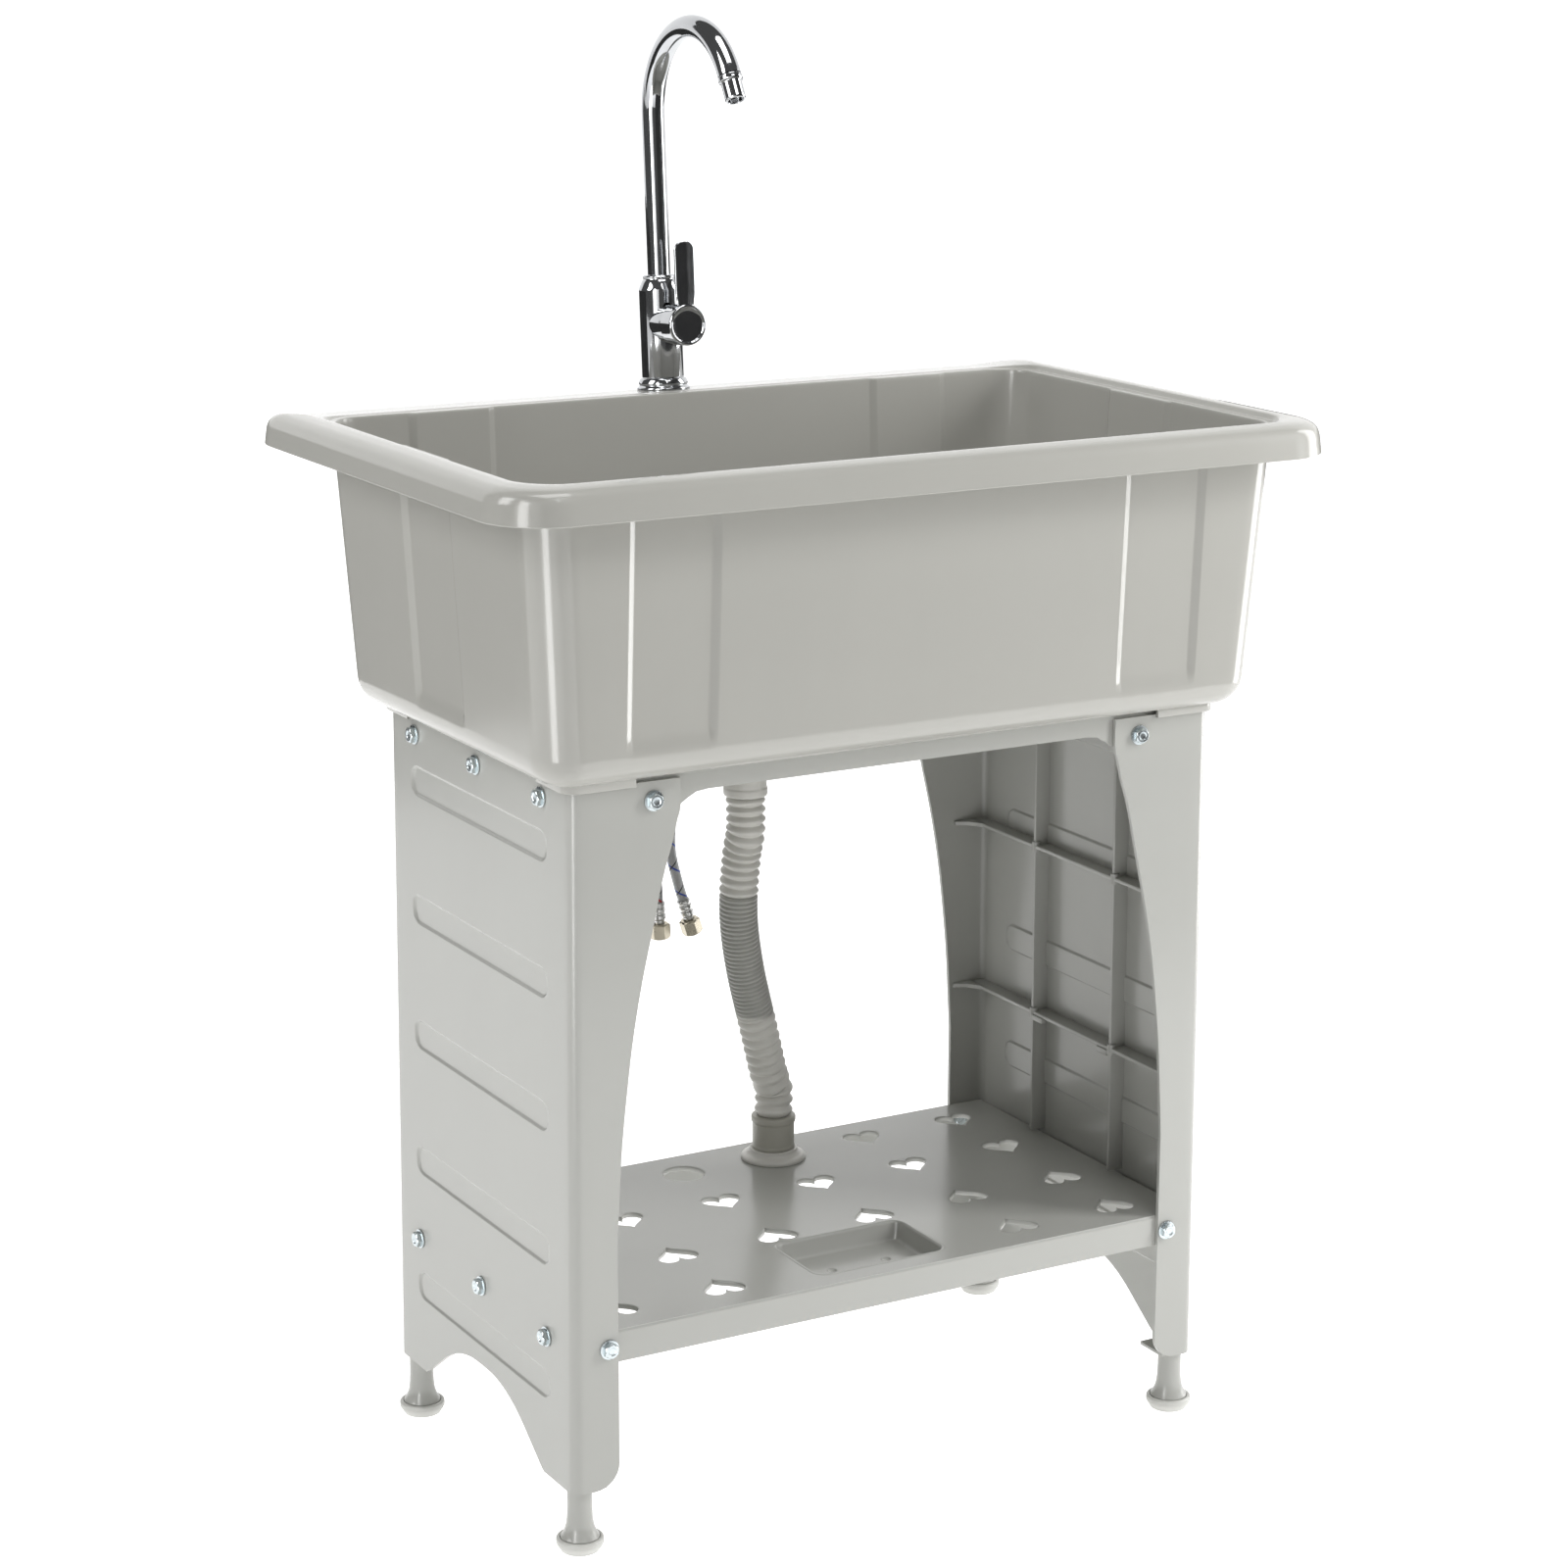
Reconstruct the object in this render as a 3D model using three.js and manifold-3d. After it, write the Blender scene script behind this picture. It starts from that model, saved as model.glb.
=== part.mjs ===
// Utility laundry sink: a deep plastic bowl on a flat-packed plastic stand, with a mixer tap and a drain
// hose. Millimetres, +Z up. The front of the sink faces -Y. The origin is on the floor, mid-rim.
import * as THREE from "three";
import { mergeVertices } from "three/addons/utils/BufferGeometryUtils.js";
import Module from "manifold-3d";

const wasm = await Module();
wasm.setup();

// ---- Fits ----
const GAP = 0.3; // between pieces that touch
const BALL_GAP = 0.5; // between the tap's ball cap and the knob that rocks on it
const HOLE_GAP = 0.35; // between a bolt and its hole
const OVERSHOOT = 2; // how far a cutting shape runs past the face it leaves by

// ---- Bowl ----
const RIM_WIDTH = 646;
const RIM_DEPTH = 440;
const RIM_HEIGHT = 750;
const RIM_CORNER = 46;
const RIM_FLARE = 2.5; // how far the lip's lower edge stands out past its shoulder
const LIP_HEIGHT = 24; // from the crown to the lip's lower edge
const LIP_BOTTOM = RIM_HEIGHT - LIP_HEIGHT;
const SHOULDER_DROP = 7; // from the crown to the shoulder, at the front and sides
const LEDGE_DROP = 4.3; // from the crown to the ledge round the opening
const LEDGE_WIDTH = 6;
const DECK_FALL = 3.4; // the tap deck falls this much towards the back
const DECK_EDGE_DROP = 4; // and this much more over its rounded back edge
const DECK_EDGE = 9; // the width of that rounded edge
const SIDE_MARGIN = 34.3; // from the rim's side to the opening
const FRONT_MARGIN = 32.3;
const DECK_MARGIN = 64.9; // from the back of the rim, over the tap deck, to the opening
const OPENING_WIDTH = RIM_WIDTH - 2 * SIDE_MARGIN;
const OPENING_DEPTH = RIM_DEPTH - FRONT_MARGIN - DECK_MARGIN;
const OPENING_Y = (FRONT_MARGIN - DECK_MARGIN) / 2;
const OPENING_CORNER = 26;
const WALL = 3;
const WALL_TAPER_X = 12; // the bowl narrows by this much each side, from the ledge to the bottom
const WALL_TAPER_Y = 10;
const BOWL_HEIGHT = 205; // from the crown down to the underside
const BOWL_BOTTOM = RIM_HEIGHT - BOWL_HEIGHT;
const BOTTOM_RADIUS = 19;
const FLOOR_THICK = 3.5;
const FLOOR_FALL = 1.5; // towards the drain
const FLUTE_DEPTH = 2.4;
const FLUTE_FROM = 160; // the front and back flutes, measured from the middle
const FLUTE_TO = 222;
const SIDE_FLUTE = 37; // half the width of the flute in each side wall
const FLUTE_RAMP = 5;
const FLUTE_FADE = 22; // the height over which a flute runs out above the bottom radius

// ---- Stand ----
const STAND_Y = OPENING_Y + 2.3; // the stand's middle: it sits under the bowl, not under the tap deck
const STAND_DROP = 4; // the panels end this far below the bowl's underside
const STAND_TOP = BOWL_BOTTOM - STAND_DROP;
const STAND_BOTTOM = 46;
const STAND_DEPTH = OPENING_DEPTH - 50.8;
const STAND_WIDTH = OPENING_WIDTH - 65.3; // over the side faces, at mid height
const HALF_WIDTH = STAND_WIDTH / 2;
const HALF_DEPTH = STAND_DEPTH / 2;
// The rows of ribs, bolts and holes were measured on a stand of this size, and spread with it.
const DRAWN_WIDTH = 512.1;
const DRAWN_DEPTH = 292;
const DRAWN_HEIGHT = 495;
const WIDE = STAND_WIDTH / DRAWN_WIDTH;
const DEEP = STAND_DEPTH / DRAWN_DEPTH;
const TALL = (STAND_TOP - STAND_BOTTOM) / DRAWN_HEIGHT;
const SIDE_LEAN = 0.00707; // the side faces spread towards the floor
const PANEL_WALL = 3;
const PANEL_CORNER = 8;
const FLANGE_CURVE = [
  [82.45, 0],
  [82.25, 21],
  [80.05, 28],
  [76.05, 44],
  [70.05, 63],
  [61.55, 100],
  [53.05, 137],
  [46.05, 175],
  [41.05, 213],
  [37.05, 251],
  [34.65, 289],
  [33.05, 315],
].map(([width, drop]) => [HALF_WIDTH - width, STAND_TOP - drop * TALL]);
// The curve gives each flange's width and how far below the top that is, down to where it runs straight.
const FLANGE_FOOT_RADIUS = 18;
const ARCH_CURVE = [
  [0, 42],
  [20, 41],
  [36, 37.5],
  [50, 32],
  [64, 24],
  [76, 15.5],
  [88, 7],
  [98, 0],
].map(([y, rise]) => [y * DEEP, STAND_BOTTOM + rise]); // the arch under each side face, from its middle
const CAPSULE_LENGTH = STAND_DEPTH - 72;
const CAPSULE_HEIGHT = 22;
const CAPSULE_DEPTH = 1.5;
const CAPSULE_LEVELS = [66.5, 164, 260, 354, 448.5].map((rise) => STAND_BOTTOM + rise * TALL);
const RIB_REACH = 16.05; // how far the ribs stand in from the side face
const RIB_INNER = HALF_WIDTH - RIB_REACH;
const RIB_THICK = 3;
const RIB_LEVELS = [213.5, 347].map((rise) => STAND_BOTTOM + rise * TALL);
const RIB_OFFSETS = [-53, 53].map((y) => y * DEEP);
const RIB_TOP = STAND_TOP - 33;
const GUSSET_REACH = 20;
const GUSSET_DEPTH = 16;

// ---- Feet ----
const FOOT_X = HALF_WIDTH - 9.05;
const FOOT_Y = HALF_DEPTH - 13.7; // from the stand's middle
const POST_RADIUS = 8.7;
const POST_FLARE = 13.6;
const FOOT_BLOCK = 30;
const CUP_RADIUS = 16.6;
const CUP_BASE_RADIUS = 13.5;
const CUP_HEIGHT = 9.5;
const CUP_FLOOR = 3.2;

// ---- Bracing frame under the bowl ----
const FRAME_TOP = BOWL_BOTTOM - GAP;
const APRON_HEIGHT = 14.7;
const APRON_BOTTOM = FRAME_TOP - APRON_HEIGHT;
const FRAME_HEIGHT = 29.7; // where the bolts go through
const APRON_DEEP = FRAME_TOP - FRAME_HEIGHT;
const APRON_ARCH_FROM = HALF_WIDTH - 99.05;
const APRON_ARCH_TO = HALF_WIDTH - 78.05;
const FRAME_WALL = 3;
const FRAME_LEDGE = 34;
const FRAME_RIB_X = 92 * WIDE;
const FRAME_RIB_WIDTH = 26;

// ---- Locating lips under the bowl ----
const LIP_THICK = 2.7;
const LIP_DROP = 6;
const LIP_FRONT_FROM = HALF_WIDTH - 48.05;
const LIP_SIDE_FROM = HALF_DEPTH - 42;

// ---- Bolts ----
const BOLT_RADIUS = 3;
const HEAD_RADIUS = 5.8;
const HEAD_HEIGHT = 4;
const WASHER_RADIUS = 7;
const WASHER_THICK = 1.1;
const NUT_HEIGHT = 4.6;
const UPPER_BOLT_Z = STAND_TOP - 13.2;
const UPPER_SIDE_BOLTS = [-102, 0, 102].map((y) => y * DEEP);
const LOWER_SIDE_BOLTS = [-105, 0, 105].map((y) => y * DEEP);
const UPPER_FACE_BOLT = HALF_WIDTH - 62.25;
const LOWER_FACE_BOLT = HALF_WIDTH - 25.85;

// ---- Shelf ----
const SHELF_TOP = 159.5;
const LOWER_BOLT_Z = SHELF_TOP - 11.2;
const SHELF_THICK = 3.5;
const SKIRT_HEIGHT = 23.5;
const SKIRT_BOTTOM = SHELF_TOP - SKIRT_HEIGHT;
const SKIRT_THICK = 3;
const SHELF_EDGE = 2; // chamfer round the top
const HEART_SIZE = 15 * Math.min(WIDE, DEEP);
const HEART_COLUMNS = [-207, -122.5, -41, 41, 122.5, 207].map((x) => x * WIDE);
const HEART_ROWS = [-107, -37.5, 37.5, 107].map((y) => y * DEEP);
const TRAY_WIDTH = 104 * WIDE;
const TRAY_DEPTH = 66 * DEEP;
const TRAY_Y = -90 * DEEP; // from the stand's middle
const TRAY_SINK = 13.5;
const TRAY_CORNER = 8;
const TRAY_TAPER = 3;
const TRAY_HOLE = 3;
const TRAY_HOLE_X = 22.5 * WIDE;
const SHELF_RIB_OFFSETS = [-165, -82, 82, 165].map((x) => x * WIDE);
const SHELF_RIB_DEPTH = 9;
const HOSE_HOLE = 15.8;
const HOSE_HOLE_X = 39 * WIDE;
const HOSE_HOLE_Y = 105 * DEEP; // from the stand's middle

// ---- Drain ----
const DRAIN_FROM_BACK = 90.1;
const DRAIN_Y = OPENING_Y + OPENING_DEPTH / 2 - DRAIN_FROM_BACK;
const DRAIN_HOLE = 22.8;
const DRAIN_SEAT = 36.6;
const DRAIN_BOSS = 44;
const DRAIN_BOSS_DROP = 4;
const SEAT_DEPTH = 2.2;
const STRAINER_FLANGE = 2;
const CUP_WALL = 1.5;
const CUP_DEPTH = 22;
const TAIL_RADIUS = 13;
const TAIL_BORE = 11.4;
const TAIL_BOTTOM = BOWL_BOTTOM - 53;
const BASKET_HOLES = 6;
const BASKET_HOLE_RADIUS = 2.4;
const BASKET_HOLE_SIDES = 6;
const BASKET_HOLE_ROW = 0.62; // how far out the holes lie, as a share of the basket's flat floor
const BASKET_FLOOR = 1.2;
const BASKET_CORNER = 3;
const BASKET_STEM_RADIUS = 2.2;
const BASKET_KNOB_RADIUS = 5.5;
const STRAINER_CONE = 5.5; // how wide the strainer's sloping seat is
const BASKET_LEVEL = 1.8; // how deep the basket's rim sits in the strainer
const SLEEVE_RADIUS = 16.5;
const SLEEVE_BORE = 13.4;
const SLEEVE_BOTTOM = BOWL_BOTTOM - 87;
const SLEEVE_TOP = BOWL_BOTTOM - 39;
const GASKET_WIDTH = 9; // beyond the drain hole
const GASKET_THICK = 2.4;
const LOCKNUT_WIDTH = 8;
const LOCKNUT_HEIGHT = 9;
const LUG_LENGTH = 5;
const LUG_WIDTH = 6;
const LUG_COUNT = 6;
const SLIP_NUT_HEIGHT = 10;
const SLIP_NUT_WALL = 3; // beyond the sleeve
const HOSE_RADIUS = 14.8;
const HOSE_VALLEY = 12.4;
const HOSE_FINE_VALLEY = 13.4;
const HOSE_BORE = 10.5;
const CUFF_RADIUS = 16.6;
const CUFF_TOP = SHELF_TOP + 35.1;
const CUFF_BOTTOM = SHELF_TOP + 9;
const FLANGE_RADIUS = 25;
const SPIGOT_RADIUS = 14.6;
const SPIGOT_BORE = 12;
const SPIGOT_BOTTOM = SHELF_TOP - 31.5;
// The hose bows on its way from the sleeve to the cuff: shares of the way across, back and down.
const HOSE_BOW = [
  [-0.0154, 0.169, 0.174],
  [-0.0256, 0.342, 0.349],
  [0.149, 0.496, 0.505],
  [0.579, 0.719, 0.733],
  [0.892, 0.923, 0.8855],
];
const HOSE_STRAIGHT = 28; // below the sleeve
const HOSE_FOOT = 22; // above the cuff
const HOSE_SEGMENTS = 8;
const BORE_STEPS = 5; // ribs from one ring of the bore to the next

// ---- Tap ----
const TAP_FROM_BACK = 28;
const TAP_Y = RIM_DEPTH / 2 - TAP_FROM_BACK;
const TAP_FLANGE_RADIUS = 20;
const TAP_FLANGE_HEIGHT = 8.9;
const TAP_RADIUS = 16;
const TAP_SHOULDER = 74;
const TAP_TOP = 85;
const TAP_NECK_RADIUS = 12.4;
const SPOUT_RADIUS = 8.65;
const SPOUT_BORE = 6.9;
const SPOUT_SOCKET = 20;
const SPOUT_RISE = 201;
const SPOUT_ARC = 63;
const SPOUT_SWEEP = 155;
const AERATOR_RADIUS = 7.7;
const AERATOR_LENGTH = 19;
const BOSS_LEVEL = 49; // the handle's axis above the deck
const BOSS_RADIUS = 14;
const BALL_CENTRE = 17.5; // in front of the tap's axis
const BALL_SEAM = 10; // the seam between boss and knob, in front of the ball's centre
const KNOB_RADIUS = 15.25;
const KNOB_FRONT = 43.5;
const KNOB_RECESS = 1.2;
const LEVER_WIDTH = 16.5;
const LEVER_THICK = 3.4;
const LEVER_REACH = 61;
const LEVER_CORNER = 5;
const BODY_SOCKET = 16; // the hollow under the body that the hose tails screw into
const SHANK_RADIUS = 13;
const SHANK_BORE = 10.4;
const SHANK_BOTTOM = -38;
const TAP_WASHER_THICK = 2.5;
const TAP_NUT_HEIGHT = 6;
const TAP_NUT_RADIUS = 16.2;
const TAP_WASHER_RADIUS = 16.2;

// ---- Supply hoses ----
const SUPPLY_RADIUS = 4;
const TAIL_RADIUS_TOP = 3.6; // the threaded stem that screws up into the tap's body
const TAIL_NUT_RADIUS = 4.5;
const TAIL_NUT_LENGTH = 9;
const TAIL_SPREAD = 5.2;
const TAIL_END = -52.2; // below the deck, along the tap's axis
const FERRULE_RADIUS = 5.2;
const FERRULE_LENGTH = 17;
const HOSE_NUT_RADIUS = 8.3;
const HOSE_NUT_LENGTH = 12;
// Each hose's line after its tail: across, behind the tap's place, and below the crown of the rim.
const HOT_BOW = [
  [-5.6, -6.2, 82],
  [-13, -7, 150],
  [-15, -6, 250],
  [-13, -6, 330],
  [-11.6, -6, 378],
  [-10.2, -6, 403],
];
const COLD_BOW = [
  [5.8, -6.2, 82],
  [15, -7, 150],
  [12, -5, 250],
  [3, -6, 325],
  [1, -6, 362],
  [6.6, -6, 388],
  [11.5, -6, 404],
];

// ---- Facets ----
const SEGMENTS = 16;
const KNOB_SEGMENTS = 20;
const CORNER_STEPS = 4;
const BOTTOM_STEPS = 3;
const POST_SEGMENTS = 10;

// ---- Materials ----
const look = (color, roughness, metalness = 0) =>
  new THREE.MeshStandardMaterial({ color, roughness, metalness });
const greyPlastic = look(0xb2b3ae, 0.35);
const hosePlastic = look(0xaaa9a4, 0.45);
const whitePlastic = look(0xd8d8d2, 0.5);
const rubber = look(0x2a2a2a, 0.9);
const chrome = look(0xd0d2d4, 0.08, 1);
const steel = look(0xb8babb, 0.3, 1);
const zinc = look(0xc2c8ca, 0.35, 1);
const brass = look(0xb3a98c, 0.3, 1);
const braid = look(0x8b8d8e, 0.5, 0.8);

// ---- Solids ----
function solid(geometry) {
  const bare = geometry.clone();
  bare.deleteAttribute("normal");
  bare.deleteAttribute("uv");
  const merged = mergeVertices(bare, 1e-4);
  return new wasm.Manifold(
    new wasm.Mesh({
      numProp: 3,
      vertProperties: merged.attributes.position.array,
      triVerts: new Uint32Array(merged.index.array),
    }),
  );
}

function join(...geometries) {
  return geometryOf(geometries.map(solid).reduce((a, b) => a.add(b)));
}

function cut(base, ...tools) {
  return geometryOf(tools.map(solid).reduce((a, b) => a.subtract(b), solid(base)));
}

function common(a, b) {
  return geometryOf(solid(a).intersect(solid(b)));
}

function geometryOf(manifold) {
  const mesh = manifold.getMesh();
  const geometry = new THREE.BufferGeometry();
  geometry.setAttribute("position", new THREE.BufferAttribute(mesh.vertProperties, 3));
  geometry.setIndex(new THREE.BufferAttribute(mesh.triVerts, 1));
  return geometry;
}

function block(x0, x1, y0, y1, z0, z1) {
  const box = new THREE.BoxGeometry(x1 - x0, y1 - y0, z1 - z0);
  return box.translate((x0 + x1) / 2, (y0 + y1) / 2, (z0 + z1) / 2);
}

function outline(points) {
  return new THREE.Shape(points.map(([x, y]) => new THREE.Vector2(x, y)));
}

// A shape drawn in X and Y, raised from z0 to z1.
function alongZ(shape, z0, z1, curveSegments = 6) {
  const options = { depth: z1 - z0, bevelEnabled: false, curveSegments };
  return new THREE.ExtrudeGeometry(shape, options).translate(0, 0, z0);
}

// A shape drawn in X and Z, between y0 and y1.
function alongY(shape, y0, y1, curveSegments = 6) {
  return alongZ(shape, -y1, -y0, curveSegments).rotateX(Math.PI / 2);
}

// A shape drawn in Y and Z, between x0 and x1.
function alongX(shape, x0, x1, curveSegments = 6) {
  return alongZ(shape, x0, x1, curveSegments).rotateX(Math.PI / 2).rotateZ(Math.PI / 2);
}

// A profile of [radius, height] turned round the Z axis.
function turned(profile, segments = SEGMENTS) {
  const points = profile.map(([r, z]) => new THREE.Vector2(r, z));
  return new THREE.LatheGeometry(points, segments).rotateX(Math.PI / 2);
}

// A turned ring: its profile closes on itself.
function turnedRing(profile, segments = SEGMENTS) {
  return turned([...profile, profile[0]], segments);
}

function tube(outer, inner, z0, z1, segments = SEGMENTS) {
  return turnedRing([[inner, z0], [outer, z0], [outer, z1], [inner, z1]], segments);
}

function rod(radius, z0, z1, segments = SEGMENTS) {
  return turned([[0, z0], [radius, z0], [radius, z1], [0, z1]], segments);
}

// The rounded corner of a box, from its side towards its end.
function cornerPoints(x, y, radius, steps = 4) {
  const points = [];
  for (let i = 0; i <= steps; i++) {
    const a = (i / steps) * (Math.PI / 2);
    points.push([x - radius * (1 - Math.cos(a)), y - radius * (1 - Math.sin(a))]);
  }
  return points;
}

function roundedBox(halfX, halfY, radius) {
  const shape = new THREE.Shape();
  shape.moveTo(-halfX + radius, -halfY);
  shape.lineTo(halfX - radius, -halfY);
  shape.absarc(halfX - radius, -halfY + radius, radius, -Math.PI / 2, 0);
  shape.lineTo(halfX, halfY - radius);
  shape.absarc(halfX - radius, halfY - radius, radius, 0, Math.PI / 2);
  shape.lineTo(-halfX + radius, halfY);
  shape.absarc(-halfX + radius, halfY - radius, radius, Math.PI / 2, Math.PI);
  shape.lineTo(-halfX, -halfY + radius);
  shape.absarc(-halfX + radius, -halfY + radius, radius, Math.PI, 1.5 * Math.PI);
  return shape;
}

// A closed skin over rings of equal length, with a fan to a point at each end.
function loft(first, rings, last) {
  const count = rings[0].length;
  const points = [first, ...rings.flat(), last];
  const end = points.length - 1;
  const at = (ring, i) => 1 + ring * count + (i % count);
  const faces = [];
  for (let i = 0; i < count; i++) {
    faces.push(0, at(0, i + 1), at(0, i));
    faces.push(end, at(rings.length - 1, i), at(rings.length - 1, i + 1));
    for (let ring = 0; ring + 1 < rings.length; ring++) {
      faces.push(at(ring, i), at(ring, i + 1), at(ring + 1, i + 1));
      faces.push(at(ring, i), at(ring + 1, i + 1), at(ring + 1, i));
    }
  }
  const geometry = new THREE.BufferGeometry();
  geometry.setAttribute("position", new THREE.Float32BufferAttribute(points.flat(), 3));
  geometry.setIndex(faces);
  return geometry;
}

// ---- The bowl: one wall of even thickness, lofted from the underside up over the rim and down inside ----
const OPENING_FRONT = OPENING_Y - OPENING_DEPTH / 2;
const OPENING_BACK = OPENING_Y + OPENING_DEPTH / 2;
const LEDGE_Z = RIM_HEIGHT - LEDGE_DROP;
const DECK_BACK_Z = LEDGE_Z - DECK_FALL;
const SHOULDER_Z = RIM_HEIGHT - SHOULDER_DROP;
const SHOULDER_X = RIM_WIDTH / 2 - RIM_FLARE;
const SHOULDER_Y = RIM_DEPTH / 2 - RIM_FLARE;
const SHOULDER_CORNER = RIM_CORNER - RIM_FLARE;
const DECK_FROM = OPENING_BACK + LEDGE_WIDTH;
const DECK_TO = SHOULDER_Y - DECK_EDGE;
const DECK_SLOPE = Math.atan2(DECK_FALL, DECK_TO - DECK_FROM);

// One ring of the bowl. The back may have its own level, which the back corners ease into.
function bowlRing({ halfX, front, back, corner, z, backZ = z, flute = 0 }) {
  const points = [];
  const ease = (t) => t * t * (3 - 2 * t);
  const arc = (cx, cy, from, level) => {
    for (let i = 0; i <= CORNER_STEPS; i++) {
      const angle = from + (i / CORNER_STEPS) * (Math.PI / 2);
      const height = level(i / CORNER_STEPS);
      points.push([cx + corner * Math.cos(angle), cy + corner * Math.sin(angle), height]);
    }
  };
  const half = FLUTE_RAMP / 2;
  const steps = (from, to) => [
    [from - half, 0],
    [from + half, flute],
    [to - half, flute],
    [to + half, 0],
  ];
  const along = [
    ...steps(-FLUTE_TO, -FLUTE_FROM),
    ...steps(FLUTE_FROM, FLUTE_TO),
  ];
  const beside = steps(OPENING_Y - SIDE_FLUTE, OPENING_Y + SIDE_FLUTE);
  along.forEach(([x, dip]) => points.push([x, front + dip, z]));
  arc(halfX - corner, front + corner, -Math.PI / 2, () => z);
  beside.forEach(([y, dip]) => points.push([halfX - dip, y, z]));
  arc(halfX - corner, back - corner, 0, (t) => z + (backZ - z) * ease(t));
  along.forEach(([x, dip]) => points.push([-x, back - dip, backZ]));
  arc(-halfX + corner, back - corner, Math.PI / 2, (t) => backZ + (z - backZ) * ease(t));
  beside.forEach(([y, dip]) => points.push([-halfX + dip, 2 * OPENING_Y - y, z]));
  arc(-halfX + corner, front + corner, Math.PI, () => z);
  return points;
}

// A ring of the tapered wall, set in from the opening's edge by its own thickness.
function wallRing(z, outset, flute, inset = 0) {
  const t = (LEDGE_Z - z) / (LEDGE_Z - BOWL_BOTTOM);
  return bowlRing({
    halfX: OPENING_WIDTH / 2 + outset - WALL_TAPER_X * t - inset,
    front: OPENING_FRONT - outset + WALL_TAPER_Y * t + inset,
    back: OPENING_BACK + outset - WALL_TAPER_Y * t - inset,
    corner: Math.max(OPENING_CORNER + outset - inset, 4),
    z,
    flute,
  });
}

// A ring of the rim: so far out from the opening at the front and sides, and so far at the back.
function rimRing(side, frontSide, back, corner, z, backZ, flute = 0) {
  return bowlRing({
    halfX: OPENING_WIDTH / 2 + side,
    front: OPENING_FRONT - frontSide,
    back: OPENING_BACK + back,
    corner,
    z,
    backZ,
    flute,
  });
}

function bottomCurve(level, radius, outset, topFlute) {
  const rings = [];
  for (let i = 0; i <= BOTTOM_STEPS; i++) {
    const angle = (i / BOTTOM_STEPS) * (Math.PI / 2);
    const inset = radius * (1 - Math.sin(angle));
    const z = level + radius * (1 - Math.cos(angle));
    rings.push(wallRing(z, outset, 0, inset));
  }
  rings.push(wallRing(level + radius + FLUTE_FADE, outset, topFlute));
  return rings;
}

const SIDE_OUT = SHOULDER_X - OPENING_WIDTH / 2;
const FRONT_OUT = SHOULDER_Y + OPENING_FRONT;
const BACK_OUT = SHOULDER_Y - OPENING_BACK;
const CROWN_IN = 0.42; // where the crown lies across the rim
const deckZ = (out) => LEDGE_Z - (out - LEDGE_WIDTH) * Math.tan(DECK_SLOPE);

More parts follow.
